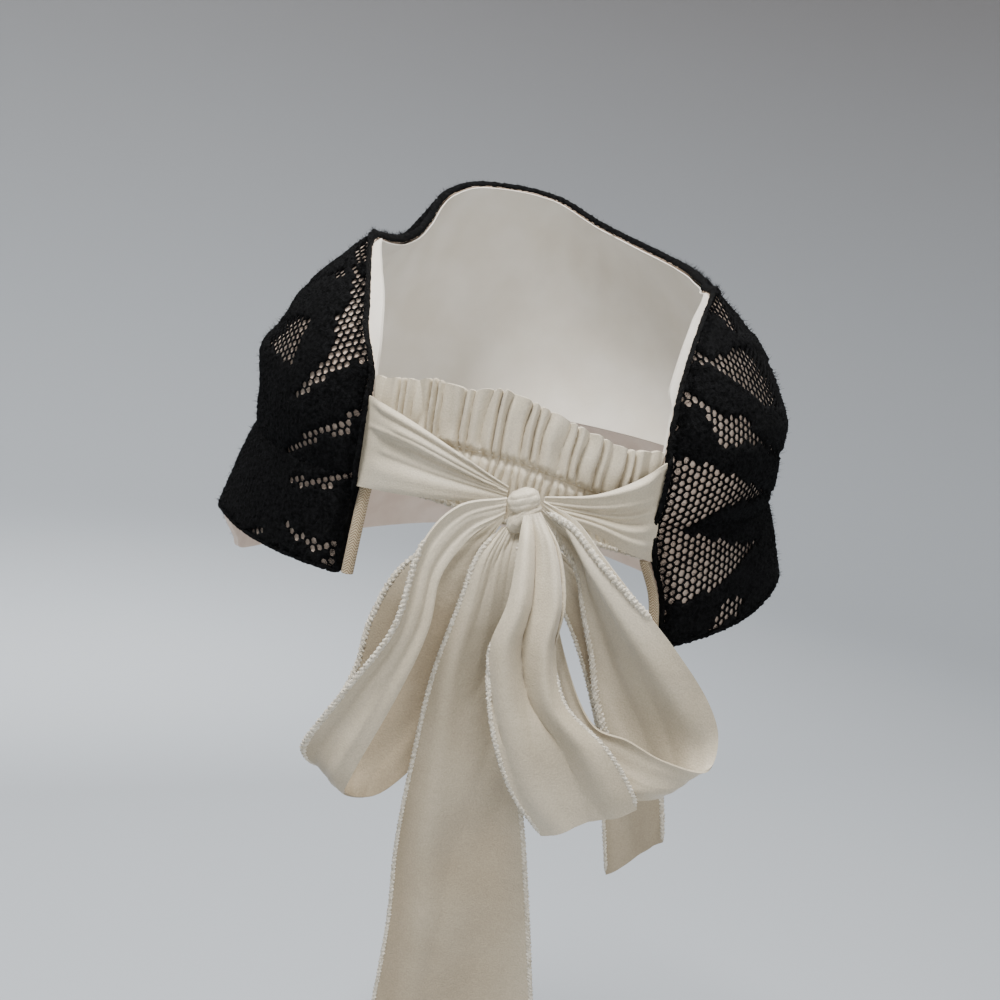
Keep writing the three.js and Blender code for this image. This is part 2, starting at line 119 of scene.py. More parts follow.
RIGHT_LOOP = table(EDGES, [
    (8.9, -105.6, 6.2, 8.9, -104.4, 1.6, 0), (17.6, -109.0, 3.2, 18.6, -105.0, -8.3, 1),
    (25.7, -112.0, -4.2, 23.3, -104.0, -20.6, 1), (36.1, -113.0, -14.3, 27.7, -103.0, -33.8, 1.5),
    (47.1, -112.0, -24.7, 31.3, -103.0, -45.7, 1.5), (57.8, -109.0, -37.4, 37.1, -104.0, -56.9, 1.5),
    (62.7, -108.0, -47.5, 46.9, -108.0, -64.7, 1), (60.5, -112.0, -54.9, 50.2, -113.0, -64.0, 0.5),
    (48.8, -116.0, -52.6, 43.7, -117.0, -63.9, 0.5), (39.0, -116.0, -48.8, 34.1, -116.0, -64.4, 1),
    (29.1, -114.0, -46.2, 22.9, -114.0, -54.9, 1), (19.8, -111.5, -30.2, 12.2, -111.5, -36.6, 0.5),
    (9.6, -107.4, -2.1, 6.2, -107.4, -2.1, 0)])
SHORT_TAIL = table(EDGES, [
    (4.4, -109.4, 2.4, 8.4, -109.4, 4.0, 0), (4.3, -114.0, -5.6, 14.5, -113.0, -4.2, 1),
    (3.8, -119.0, -17.1, 17.9, -116.0, -16.2, 1.5), (1.3, -121.0, -29.1, 17.4, -118.0, -28.0, 1.5),
    (3.2, -122.0, -42.7, 21.6, -120.0, -40.3, 1.5), (7.0, -122.0, -54.5, 33.4, -121.0, -49.6, 1.5),
    (13.0, -121.0, -66.1, 41.1, -120.0, -59.4, 1.5), (21.5, -119.0, -76.4, 44.0, -119.0, -65.4, 1)])
LONG_TAIL = table(EDGES, [
    (-0.6, -105.6, -2.0, 4.4, -105.6, -2.0, 0), (-5.5, -109.0, -9.5, 4.9, -108.0, -11.3, 0.5),
    (-8.1, -109.4, -22.4, 6.4, -108.4, -27.5, 1), (-12.1, -108.8, -43.3, 9.1, -107.8, -46.4, 1.3),
    (-13.9, -108.0, -66.2, 13.9, -107.0, -67.1, 1.6), (-15.0, -106.0, -91.7, 18.9, -105.0, -88.4, 2),
    (-14.2, -105.0, -115.1, 23.4, -105.0, -110.0, 2),
    (-15.0, -104.0, -140.6, 27.9, -104.0, -133.0, 2),
    (-16.2, -104.0, -159.9, 31.4, -104.0, -151.4, 2)])
REAR_TAIL = table(EDGES, [
    (4.4, -102.4, -2.0, 8.4, -102.4, -2.0, 0), (16.1, -100.4, -18.9, 27.1, -99.6, -16.1, 0.5),
    (25.0, -99.0, -34.3, 38.9, -97.0, -31.3, 1), (33.7, -97.0, -56.3, 48.3, -96.0, -52.8, 1),
    (38.8, -96.0, -77.9, 53.9, -95.0, -71.4, 1), (43.0, -95.0, -97.1, 56.7, -95.0, -85.0, 1)])

# Lace: millimetres to a degree round the head and to the height of crown and peak, as its chart was read,
# and how far a chain of holes reaches to each side
DEGREE_MM, CROWN_MM, PEAK_MM, CHAIN_REACH = 1.55, 66, 30, 1.3
# Pitch of the meshes along and up the lace, and where its net grounds lie between the solid leaves.
# A place is degrees from the front and how far up the crown, or how far down the peak as a minus.
MESH_WIDE, MESH_HIGH = 2.5, 2.15
# Seeded unevenness of a mesh's corners and sizes of its hole, as shares of the mesh
JITTER, HOLE = 0.09, (0.72, 0.84)
# Yarn over the cloth: crest of the net, what each solid stitch beside it adds, lip of a hole, and the
# two corners of a solid stitch
YARN = dict(crest=0.86, beside=0.13, lip=0.72, ring=(1.05, 1.75), middle=(1.0, 1.6))
# The lace's rolled edge: half sizes out of the cloth and past its edge
ROLL = dict(foot=(1.5, 0.75), back=(1.3, 0.3), rim=(1.3, 0.6))
LACE_ARC, LACE_COLUMNS, ROWS_DOWN, ROWS_UP = 306, 192, 44, 54
RIGHT_NETS = [
    [(137, .86), (133.5, .85), (126, .78), (91, .72), (87, .94), (126, .97), (140, .95)],
    [(156, .66), (143, .68), (140, .66), (129, .71), (113, .72), (92, .59), (95, .50), (101.5, .42),
     (118, .45), (127, .49), (132, .54), (136, .59), (140, .63), (156, .63)],
    [(142.5, .44), (132, .44), (128, .36), (121.5, .29), (130.5, .33), (139, .31), (141, .32),
     (142.5, .40)],
    [(156, .27), (149.6, .27), (146, .26), (140.5, .24), (135, .20), (128, .16), (96, .03),
     (131, .09), (136.6, .05), (141, 0), (145, -.06), (136, -.15), (130.5, -.21), (124, -.28),
     (118.6, -.30), (91, -.50), (99, -.43), (115, -.34), (120, -.38), (124, -.42), (127, -.49),
     (130, -.57), (135, -.63), (139, -.66), (141, -.68), (156, -.64)],
    [(132, -.75), (123, -.81), (126, -.94), (133.5, -1), (135, -.98), (132.5, -.89)],
]
RIGHT_CHAINS = [
    [(153, .51), (146, .48), (142, .43)], [(121.5, .29), (106, .23), (92, .17)],
]
LEFT_NETS = [
    [(116, .98), (127, .86), (132, .81), (140, .84), (136, .98)],
    [(129, .81), (133, .77), (138.5, .64), (136.2, .56), (139.6, .50), (139.6, .43), (137, .36),
     (136, .30), (140.1, .32), (143.2, .38), (146.2, .42), (156, .44), (156, .67), (142.5, .73)],
    [(92, .42), (110, .50), (130, .54), (129.3, .33), (112, .38)],
]
LEFT_CHAINS = [
    [(130, .75), (106, .66), (81.5, .56), (82, .46)], [(97, .36), (90, .24), (85, .13)],
    [(137.4, .30), (134, .24)],
    [(131.3, .01), (142.5, .14), (147.6, .18), (149.3, .23), (151.8, .26), (151.5, .34)],
    [(133.2, -.34), (138.1, -.23), (142.3, -.21), (147.1, -.08), (150.3, .01)],
    [(134.7, -.74), (136.9, -.76), (141, -.82), (144.7, -.82), (147.9, -.79), (148.4, -.90),
     (146.9, -.96)], [(124.2, -.93), (127.6, -.92)],
]
# Fans of leaves round the front: centre, and the radius that its net grounds reach. Their shape takes
# these millimetres to a degree, to the crown's height and to the peak's.
FAN_DEGREE, FAN_CROWN, FAN_PEAK = 1.5, 78, 66
FANS = table("angle up turn reach", [
    (-67, 0.28, 0.3, 33), (-25, 0.30, 0.9, 36), (22, 0.28, 1.4, 36), (66, 0.30, 2.1, 33),
    (-47, 0.86, 2.5, 30), (0, 0.88, 1.2, 33), (46, 0.90, 0.4, 30),
    (-88, 0.84, 1.8, 26), (88, 0.84, 0.1, 26),
    (-84, -0.62, 1.1, 26), (-52, -0.58, 2.0, 36), (-17, -0.62, 0.2, 36), (18, -0.58, 1.6, 36),
    (53, -0.60, 0.7, 36), (85, -0.62, 0.5, 26)])
LEAVES = 9

# Ropes of overlock thread: half width, half thickness and pitch
TAIL_ROPE = dict(wide=0.75, thick=0.5, pitch=1.15)
BULKY_ROPE = dict(wide=1.35, thick=0.75)
# Ridges of a silk band: place across, height, width, and where along it starts and stops
LEFT_RIDGES = [
    (0.03, 1.1, 0.04, -1, 2), (0.2, 0.45, 0.03, 0.2, 2), (0.3, 0.8, 0.035, -1, 2),
    (0.43, 0.4, 0.03, 0.3, 2), (0.55, 0.35, 0.04, 0.1, 2)]
RIGHT_RIDGES = [
    (0.04, 1.0, 0.045, -1, 2), (0.34, 0.8, 0.05, -1, 2), (0.5, 0.9, 0.045, -1, 2),
    (0.66, 1.0, 0.05, -1, 2), (0.83, 0.7, 0.05, -1, 2)]
# Loops and tails: name, edges, seed, how held, form, and the overlocked stretches of the first edge and
# of the last edge, each with its start, its end and how far it is turned on to the face
BANDS = [
    ("left_loop", LEFT_LOOP, 61, "folded",
     dict(folds=2, crinkle=0.3, gather=1.0, ridges=[(0.7, 1.6, 0.15, 0, 0.42)]), [(0.17, 0.985, 0)], []),
    ("right_loop", RIGHT_LOOP, 67, "folded",
     dict(folds=2, crinkle=0.4, gather=1.0, ridges=[(0.26, 2.2, 0.11, 0, 0.5)]),
     [(0.015, 0.28, 1)], [(0.02, 0.5, 0)]),
    ("long_tail", LONG_TAIL, 71, "hung", dict(folds=2, crinkle=0.5, gather=0.8),
     [(0.03, 1, 0)], [(0.03, 1, 0)]),
    ("short_tail", SHORT_TAIL, 77, "hung",
     dict(folds=3, crinkle=0.4, gather=0.4, lobes=dict(depth=2.6, drift=0.16, waves=0.9)),
     [(0.4, 1, 0)], [(0.48, 1, 0)]),
    ("rear_tail", REAR_TAIL, 81, "hung", dict(folds=2, crinkle=0.6, gather=0.8, steps=140),
     [(0.1, 1, 0)], [(0.1, 1, 0)]),
]


def linear(code):
    """sRGB hex colour as linear red, green, blue and 1."""
    c = np.array([int(code[k:k + 2], 16) for k in (1, 3, 5)]) / 255
    c = np.where(c <= 0.04045, c / 12.92, ((c + 0.055) / 1.055) ** 2.4)
    return (*[float(x) for x in c], 1.0)


def node(tree, kind, inputs=(), **settings):
    """A shader node with its settings. An input is found by its name or number, and is a value or the
    output that it is linked from."""
    made = tree.nodes.new("ShaderNode" + kind)
    for name, value in settings.items():
        setattr(made, name, value)
    for name, value in dict(inputs).items():
        if isinstance(value, bpy.types.NodeSocket):
            tree.links.new(value, made.inputs[name])
        else:
            made.inputs[name].default_value = value
    return made


def new_material(name, **shader):
    """A material with one Principled shader: its tree, the shader and the Object coordinates."""
    material = bpy.data.materials.new(name)
    material.use_nodes = True
    tree = material.node_tree
    principled = tree.nodes["Principled BSDF"]
    for key, value in shader.items():
        principled.inputs[key.replace("_", " ")].default_value = value
    return material, tree, principled, node(tree, "TexCoord").outputs


def mottled(tree, where, scale, detail, stops):
    """Colour by noise: stops are places on the noise and hex colours."""
    noise = node(tree, "TexNoise", {"Vector": where, "Scale": scale, "Detail": detail})
    ramp = node(tree, "ValToRGB", {"Fac": noise.outputs["Fac"]})
    for element, (place, code) in zip(ramp.color_ramp.elements, stops):
        element.position, element.color = place, linear(code)
    return ramp.outputs["Color"]


def knit_material():
    """Brushed wool-blend knit, dyed black: dull, with a soft blue-grey bloom of loose fibres."""
    material, tree, shader, where = new_material(
        "brushed_black_knit", Roughness=0.95, Specular_IOR_Level=0.08)
    colour = mottled(tree, where["Object"], 900, 3, [(0.36, "#020202"), (0.68, "#141415")])
    tree.links.new(colour, shader.inputs["Base Color"])
    # Yarn of about 0.5 mm and its hairs of about 0.15 mm
    yarn = node(tree, "TexNoise", {"Vector": where["Object"], "Scale": 2000, "Detail": 4})
    bump = node(tree, "Bump", {"Height": yarn.outputs["Fac"], "Distance": 0.0006, "Strength": 1.0})
    tree.links.new(bump.outputs["Normal"], shader.inputs["Normal"])
    return material


def voile_material():
    """Plain-woven cotton voile, dyed pinkish beige: matt, with the weave's fine grid and soft wear."""
    material, tree, shader, where = new_material(
        "beige_cotton_voile", Roughness=0.85, Sheen_Weight=0.2, Sheen_Roughness=0.5,
        Specular_IOR_Level=0.25)
    colour = mottled(tree, where["Object"], 60, 4, [(0.3, "#cdb5a2"), (0.72, "#e2cebd")])
    tree.links.new(colour, shader.inputs["Base Color"])
    weave_bump(tree, shader, where["UV"], 0.45, 0.12)
    return material


def weave_bump(tree, shader, where, thread, depth):
    """Plain weave: two sine waves, one for each direction of thread, multiplied. thread is one thread's
    width and depth its height, in millimetres, drawn coarser than the real thread so that it shows."""
    waves = [node(tree, "TexWave", {"Vector": where, "Scale": 0.314 / (thread * MM)},
                  wave_type="BANDS", bands_direction=axis) for axis in "XY"]
    mix = node(tree, "Math", {k: w.outputs["Fac"] for k, w in enumerate(waves)}, operation="MULTIPLY")
    rough = node(tree, "TexNoise", {"Vector": where, "Scale": 700, "Detail": 3})
    both = node(tree, "Math", {0: mix.outputs["Value"], 1: rough.outputs["Fac"]}, operation="ADD")
    bump = node(tree, "Bump", {"Height": both.outputs["Value"], "Distance": depth * MM, "Strength": 0.7})
    tree.links.new(bump.outputs["Normal"], shader.inputs["Normal"])


def lining_material():
    """Woven viscose lining, ivory: smooth, with a soft satin gloss."""
    material, tree, shader, where = new_material(
        "ivory_viscose_lining", Roughness=0.6, Sheen_Weight=0.2, Sheen_Roughness=0.4)
    colour = mottled(tree, where["Object"], 45, 3, [(0.3, "#e8dfcf"), (0.7, "#f5eee1")])
    tree.links.new(colour, shader.inputs["Base Color"])
    weave_bump(tree, shader, where["UV"], 0.35, 0.06)
    return material


def crepe_material():
    """Silk crepe, ivory: overtwisted thread gives a pebbled face with a soft pearly sheen."""
    material, tree, shader, where = new_material(
        "ivory_silk_crepe", Roughness=0.52, Sheen_Weight=0.35, Sheen_Roughness=0.35,
        Specular_IOR_Level=0.35)
    colour = mottled(tree, where["Object"], 38, 5, [(0.3, "#c3b79f"), (0.7, "#d5cab4")])
    # Crepe pebbles, drawn at about 0.5 mm so that they show, over the cloth's slow unevenness of
    # about 4 mm
    pebble = node(tree, "TexNoise", {"Vector": where["Object"], "Scale": 2300, "Detail": 2})
    shade = node(tree, "MapRange", {"Value": pebble.outputs["Fac"], "From Min": 0.3, "From Max": 0.7,
                                    "To Min": 0.86, "To Max": 1.05})
    tint = node(tree, "VectorMath", {"Vector": colour, "Scale": shade.outputs["Result"]},
                operation="SCALE")
    # Painted shade: darker and warmer the deeper the silk lies in the bow and the lower it hangs
    split = node(tree, "SeparateXYZ", {"Vector": where["Object"]})
    forward = node(tree, "VectorMath", {0: where["Object"], 1: (-0.2, 1, 0)}, operation="DOT_PRODUCT")
    deep = node(tree, "MapRange", {"Value": forward.outputs["Value"], "From Min": -0.111,
                                   "From Max": -0.104, "To Min": 0.35})
    low = node(tree, "MapRange", {"Value": split.outputs["Z"], "From Min": -0.004, "From Max": -0.028})
    painted_shade_amount = node(tree, "Math", {0: deep.outputs["Result"], 1: low.outputs["Result"]},
                operation="MULTIPLY")
    # Colour of the painted shade: white where there is none, warm grey-tan where it is full
    ramp = node(tree, "ValToRGB", {"Fac": painted_shade_amount.outputs["Value"]})
    for element, code in zip(ramp.color_ramp.elements, ("#ffffff", "#c6beb3")):
        element.color = linear(code)
    painted_shade_colour = node(tree, "VectorMath", {0: tint.outputs["Vector"], 1: ramp.outputs["Color"]},
                   operation="MULTIPLY")
    tree.links.new(painted_shade_colour.outputs["Vector"], shader.inputs["Base Color"])
    slow = node(tree, "TexNoise", {"Vector": where["Object"], "Scale": 240, "Detail": 3})
    first = node(tree, "Bump", {"Height": pebble.outputs["Fac"], "Distance": 0.0002, "Strength": 0.6})
    second = node(tree, "Bump", {"Height": slow.outputs["Fac"], "Distance": 0.0005, "Strength": 0.35,
                                 "Normal": first.outputs["Normal"]})
    tree.links.new(second.outputs["Normal"], shader.inputs["Normal"])
    return material


def thread_material():
    """Overlock thread, bulked polyester, white: soft and slightly brighter than the silk."""
    material, tree, shader, where = new_material(
        "white_overlock_thread", Roughness=0.7, Sheen_Weight=0.3, Sheen_Roughness=0.5)
    colour = mottled(tree, where["Object"], 1100, 2, [(0.3, "#b9ae97"), (0.65, "#ded6c5")])
    tree.links.new(colour, shader.inputs["Base Color"])
    loops = node(tree, "TexNoise", {"Vector": where["Object"], "Scale": 1500, "Detail": 2})
    bump = node(tree, "Bump", {"Height": loops.outputs["Fac"], "Distance": 0.0006, "Strength": 1.0})
    tree.links.new(bump.outputs["Normal"], shader.inputs["Normal"])
    return material


def twill_material():
    """Cotton herringbone tape, beige: slanted ribs that turn back at each side of a chevron."""
    material, tree, shader, where = new_material(
        "beige_herringbone_tape", Roughness=0.85, Sheen_Weight=0.15, Specular_IOR_Level=0.25)
    # Ribs 0.8 mm apart, drawn coarser than the real 0.4 mm so that they show
    split = node(tree, "SeparateXYZ", {"Vector": where["UV"]})
    fold = node(tree, "Math", {0: split.outputs["Y"], 1: 1.2 * MM}, operation="PINGPONG")
    slant = node(tree, "Math", {0: split.outputs["X"], 1: fold.outputs["Value"]}, operation="ADD")
    line = node(tree, "CombineXYZ", {"X": slant.outputs["Value"]})
    wave = node(tree, "TexWave", {"Vector": line.outputs["Vector"], "Scale": 0.314 / (0.8 * MM)},
                wave_type="BANDS", bands_direction="X")
    ramp = node(tree, "ValToRGB", {"Fac": wave.outputs["Fac"]})
    for element, code in zip(ramp.color_ramp.elements, ("#8f7b5e", "#cfbd9f")):
        element.color = linear(code)
    tree.links.new(ramp.outputs["Color"], shader.inputs["Base Color"])
    bump = node(tree, "Bump", {"Height": wave.outputs["Fac"], "Distance": 0.0003, "Strength": 0.8})
    tree.links.new(bump.outputs["Normal"], shader.inputs["Normal"])
    return material


KNIT, VOILE, VISCOSE = knit_material(), voile_material(), lining_material()
CREPE, THREAD, TWILL = crepe_material(), thread_material(), twill_material()


def along(rows, column, place):
    """A column at any place: a cubic between the rows with the slopes of their neighbours, level past
    both ends. Rows without a place of their own are evenly spaced from 0 to 1."""
    at = rows["at"] if "at" in rows else np.linspace(0, 1, len(rows[column]))
    y = rows[column]
    slope = np.empty(len(at))
    slope[1:-1] = (y[2:] - y[:-2]) / (at[2:] - at[:-2])
    slope[0] = (y[1] - y[0]) / (at[1] - at[0])
    slope[-1] = (y[-1] - y[-2]) / (at[-1] - at[-2])
    x = np.clip(place, at[0], at[-1])
    k = np.clip(np.searchsorted(at, x, side="left") - 1, 0, len(at) - 2)
    width = at[k + 1] - at[k]
    f = (x - at[k]) / width
    rise = y[k + 1] - y[k]
    return y[k] + rise * f + f * (1 - f) * (
        (slope[k] * width - rise) * (1 - f) + (rise - slope[k + 1] * width) * f)


def bezier(v, a, b, c, d):
    """Cubic Bezier value at v."""
    w = 1 - v
    return w**3 * a + 3 * w * w * v * b + 3 * w * v * v * c + v**3 * d


def smooth(x, low, high):
    """0 below low, 1 above high, and an even S between them."""
    f = np.clip((x - low) / (high - low), 0, 1)
    return f * f * (3 - 2 * f)


def unit(v):
    """Vectors brought to length 1."""
    return v / np.maximum(np.linalg.norm(v, axis=-1, keepdims=True), 1e-12)


def ripples(seed, size, *where):
    """Smooth irregular height of about -1 to 1: six sines with seeded slants and starts, added.
    size is about one ripple's length, in the unit of where."""
    rng = np.random.default_rng(seed)
    total = 0
    for _ in range(6):
        slant = rng.normal(size=len(where))
        slant *= 2 * np.pi / (size * rng.uniform(0.7, 1.5) * np.linalg.norm(slant))
        total = total + np.sin(sum(s * w for s, w in zip(slant, where)) + rng.uniform(0, 6.3))
    return total / 3


def outward(angle):
    """Level outward direction of the head opening at an angle from the front."""
    t = np.radians(np.asarray(angle, float))
    return unit(np.stack([np.sin(t) / HEAD_X, np.cos(t) / HEAD_Y, 0 * t], -1))


def around(angle):
    """Direction along the head opening towards growing angles."""
    t = np.radians(np.asarray(angle, float))
    return unit(np.stack([HEAD_X * np.cos(t), -HEAD_Y * np.sin(t), 0 * t], -1))


def back_angle(side, at, trimmed=True):
    """Degrees from the front of a back edge, from -1 at the foot to 1 at the rim, with its side's sign.
    The lace and cloth are trimmed a little short of the lining."""
    side, cut = np.sign(side), 1.0 if trimmed else 0.0
    left = along(BACK, "left", at) - cut * along(TRIM, "left", at)
    right = along(BACK, "right", at) - cut * along(TRIM, "right", at)
    return side * np.where(side < 0, left, right)


def back_drop(side):
    """How far the peak hangs at a back edge."""
    return float(along(PEAK, "drop", back_angle(side, -1)))


def crown_line(angle, v):
    """Middle line of the crown: the head oval scaled and raised by two Bezier curves of v, with the
    soft unevenness of worn cloth."""
    angle, v = np.broadcast_arrays(np.asarray(angle, float), v)
    top = along(RIM, "height", angle)
    k = bezier(v, 1, BULGE["low_scale"], BULGE["high_scale"], along(RIM, "scale", angle))
    z = bezier(v, 0, BULGE["low_height"] * top, BULGE["high_height"] * top, top)
    t = np.radians(angle)
    p = np.stack([HEAD_X * k * np.sin(t), HEAD_Y * k * np.cos(t), z], -1)
    soft = 0.55 * ripples(91, 40, 1.6 * angle, 70 * v) * smooth(v, 0, 0.2)
    for at, up, wide, high, size in DENTS:
        soft = soft + size * np.exp(-((angle - at) / wide) ** 2 - ((v - up) / high) ** 2)
    return p + outward(angle) * soft[..., None]


def peak_line(angle, u):
    """Peak: the head oval moved out by reach and down by drop, with u to powers near 1."""
    angle, u = np.broadcast_arrays(np.asarray(angle, float), u)
    t = np.radians(angle)
    p = np.stack([HEAD_X * np.sin(t), HEAD_Y * np.cos(t), 0 * t], -1)
    p = p + outward(angle) * (along(PEAK, "reach", angle) * u**0.9)[..., None]
    p[..., 2] = -along(PEAK, "drop", angle) * u**1.1
    return p


def offset(line, angle, v, distance):
    """A point of a wall moved out from its line along the wall's normal, which is level at the pinch."""
    angle, v, distance = np.broadcast_arrays(
        *[np.asarray(a, float) for a in (angle, v, distance)])
    step = 0.01
    up = line(angle, np.minimum(v + step, 1)) - line(angle, np.maximum(v - step, 0))
    side = line(angle + 1, v) - line(angle - 1, v)
    level = outward(angle)
    normal = unit(np.cross(side, up))
    normal = normal * np.where((normal * level).sum(-1) < 0, -1, 1)[..., None]
    blend = smooth(v, 0, 0.25)[..., None]
    return line(angle, v) + unit(level * (1 - blend) + normal * blend) * distance[..., None]


def back_edge(side, height, out, past):
    """Points on a back edge at given heights: the crown or peak line there, moved out and past it."""
    height = np.asarray(height, float)
    v = np.linspace(0, 1, 400)
    crown_z = crown_line(back_angle(side, v), v)[..., 2]
    up = np.interp(height, crown_z, v)
    down = np.maximum(-height, 0) / back_drop(side)
    angle = back_angle(side, np.where(height > 0, up, -down))
    p = np.where((height > 0)[..., None], crown_line(angle, up), peak_line(angle, down))
    p[..., 2] = height
    return p + outward(angle) * out + around(angle) * side * past


def loft(rings):
    """Closed surface through rings of points, shape (rings, points, 3): a quad between neighbours,
    and each end closed by a strip of quads that join the points with their mirrors in the ring."""
    n, m = rings.shape[:2]
    i, j = np.meshgrid(np.arange(n - 1), np.arange(m), indexing="ij")
    k = (j + 1) % m
    quads = [np.stack([i * m + j, (i + 1) * m + j, (i + 1) * m + k, i * m + k], -1).reshape(-1, 4)]
    a = np.arange(m // 2 - 1)
    cap = np.stack([a, a + 1, m - 2 - a, m - 1 - a], -1)
    quads += [cap, cap[:, ::-1] + (n - 1) * m]
    quads = np.concatenate(quads)
    points = rings.reshape(-1, 3)
    p = points - points.mean(0)
    corners = [p[quads[:, c]] for c in range(4)]
    volume = (corners[0] * np.cross(corners[1], corners[2])).sum() + (
        corners[0] * np.cross(corners[2], corners[3])).sum()
    return points, quads[:, ::-1] if volume < 0 else quads


def section(count):
    """Angles of points evenly round a tube's section, the first of them half a step from 0."""
    return np.linspace(0, 2 * np.pi, count, endpoint=False) + np.pi / count


def ring_of(front, back):
    """One ring for each row of a slab: the front from first to last column, then the back returning."""
    return np.concatenate([front, back[:, ::-1]], axis=1)


def lengths(points, axis):
    """Distance travelled along one axis of a grid of points, from 0."""
    step = np.linalg.norm(np.diff(points, axis=axis), axis=-1)
    start = np.zeros_like(np.take(step, [0], axis=axis))
    return np.concatenate([start, np.cumsum(step, axis=axis)], axis=axis)


def merge_doubles(mesh):
    """Merges points that lie within a hundredth of a millimetre, and drops faces without area."""
    work = bmesh.new()
    work.from_mesh(mesh)
    bmesh.ops.remove_doubles(work, verts=work.verts, dist=0.01 * MM)
    bmesh.ops.dissolve_degenerate(work, edges=work.edges, dist=0.002 * MM)
    work.to_mesh(mesh)
    work.free()


def piece(name, points, faces, material, stands_for, finish, uv=None, crease=55, clean=False):
    """A mesh piece from points in millimetres and arrays of faces, riding on the hat."""
    faces = [faces] if isinstance(faces, np.ndarray) else faces
    sizes = np.concatenate([np.full(len(f), f.shape[1]) for f in faces])
    corners = np.concatenate([f.ravel() for f in faces]).astype(np.int32)
    mesh = bpy.data.meshes.new(name)
    mesh.vertices.add(len(points))
    mesh.vertices.foreach_set("co", (points * MM).astype(np.float32).ravel())
    mesh.loops.add(len(corners))
    mesh.loops.foreach_set("vertex_index", corners)
    mesh.polygons.add(len(sizes))
    mesh.polygons.foreach_set("loop_start", (np.cumsum(sizes) - sizes).astype(np.int32))
    mesh.update(calc_edges=True)
    if uv is not None:
        layer = mesh.uv_layers.new(name="cloth")
        layer.data.foreach_set("uv", (uv.reshape(-1, 2)[corners] * MM).astype(np.float32).ravel())
    if clean:
        merge_doubles(mesh)
    mesh.shade_smooth()
    mesh.set_sharp_from_angle(angle=np.radians(crease))
    mesh.materials.append(material)
    made = bpy.data.objects.new(name, mesh)
    bpy.context.scene.collection.objects.link(made)
    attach(made, "root")
    if stands_for:
        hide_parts(stands_for)
    return made


def slab_piece(name, front, back, middle_uv, material, stands_for, finish):
    """A closed cloth slab between two grids; middle_uv is the real distance along and across it."""
    points, quads = loft(ring_of(front, back))
    uv = ring_of(middle_uv, middle_uv)
    return piece(name, points, quads, material, stands_for, finish, uv)


def cloth_uv(middle):
    """Real distances along and across a grid, as a pattern's coordinates."""
    return np.stack([lengths(middle, 0), lengths(middle, 1)], -1)


def crown_sheet(name, outer, inner, material, finish, past=False, rows=200, columns=44):
    """A wall of the crown between two distances from its line. The lining, which goes past the cloth at
    the back, also has soft upright folds inwards at mid height, two sunk seams, and a thinner rim."""
    i, j = np.meshgrid(np.linspace(-1, 1, rows + 1), np.linspace(0, 1, columns + 1), indexing="ij")
    angle = np.abs(i) * back_angle(np.where(i < 0, -1, 1), j, not past)
    ends = np.clip((np.abs(i) - 0.985) / 0.015, 0, 1) * np.where(i < 0, -0.2, 1)
    fold = (0.5 + 0.5 * ripples(91, 16, HEAD_Y * np.radians(angle), 9 * j)) * smooth(j, 0.3, 0.7)
    fold = fold * (1 - smooth(j, 0.72, 0.98)) * smooth(150 - np.abs(angle), 6, 22) * past
    seam = sum(np.exp(-((angle - at) / 0.5) ** 2) for at in LINING_FORM["seams"]) * past
    rim = LINING_FORM["rim"] * smooth(j, 0.96, 1) * past

    def face(distance):
        folds = LINING_FORM["fold"] * fold - LINING_FORM["seam"] * seam - rim
        p = offset(crown_line, angle, j, distance - (folds if distance == inner else rim))
        p[..., 2] += GAP / 2 * (1 - j)
        width = TURNOUT["width"] * smooth(p[..., 2], TURNOUT["start"], TURNOUT["full"]) if past else 0
        return p + around(angle) * (ends * width)[..., None]

    front, back = face(outer), face(inner)
    middle = (front + back) / 2
    made = slab_piece(name, front, back, cloth_uv(middle), material, name.rsplit("_", 1)[0], finish)


def peak_sheet(rows=190, columns=44):
    """The peak's cloth: a thin wall whose edge is rolled into a bead, as thick as the seam inside it."""
    i, j = np.meshgrid(np.linspace(0, 1, rows + 1), np.linspace(0, 1, columns + 1), indexing="ij")
    angle = back_angle(-1, -j) * (1 - i) + back_angle(1, -j) * i
    bead = np.sqrt(np.clip(1 - ((j - 0.985) / 0.015) ** 2, 0, 1)) * 0.25

    def face(distance, sign):
        wave = 0.35 * ripples(3, 55, HEAD_Y * np.radians(angle), 60 * j)
        wave = wave * smooth(j, 0.1, 0.5) * smooth(150 - np.abs(angle), 8, 30)
        p = offset(peak_line, angle, j, distance + np.minimum(sign * bead, 0) + np.minimum(wave, 0) * 0.5)
        p[..., 2] -= GAP / 2 * (1 - j)
        return p

    front, back = face(0.0, 1), face(-PEAK_CLOTH + 0.5, -1)
    middle = (front + back) / 2
    made = slab_piece("visor_cloth_sheet", front, back, cloth_uv(middle), VOILE, "visor_cloth", "cloth")


def inside(polygons, x, y):
    """Whether points lie in any polygon: an odd number of its sides cross the level line to the right."""
    found = np.zeros(x.shape, bool)
    for corners in polygons:
        a = np.array(corners, float)
        odd = np.zeros(x.shape, bool)
        for (x1, y1), (x2, y2) in zip(a, np.roll(a, -1, axis=0)):
            if y1 != y2:
                odd ^= ((y1 > y) != (y2 > y)) & (x < (x2 - x1) * (y - y1) / (y2 - y1) + x1)
        found |= odd
    return found


def on_chains(chains, x, y, reach):
    """Whether points lie within reach of a chain of short lines; x and y in millimetres."""
    found = np.zeros(x.shape, bool)
    for chain in chains:
        for a, b in zip(chain[:-1], chain[1:]):
            d = np.subtract(b, a)
            f = np.clip(((x - a[0]) * d[0] + (y - a[1]) * d[1]) / (d @ d), 0, 1)
            found |= np.hypot(x - a[0] - f * d[0], y - a[1] - f * d[1]) < reach
    return found


def chain_mm(chains):
    """Chains brought to millimetres along and up, by the chart's scales."""
    return [[(DEGREE_MM * a, (CROWN_MM if s > 0 else PEAK_MM) * s) for a, s in chain] for chain in chains]


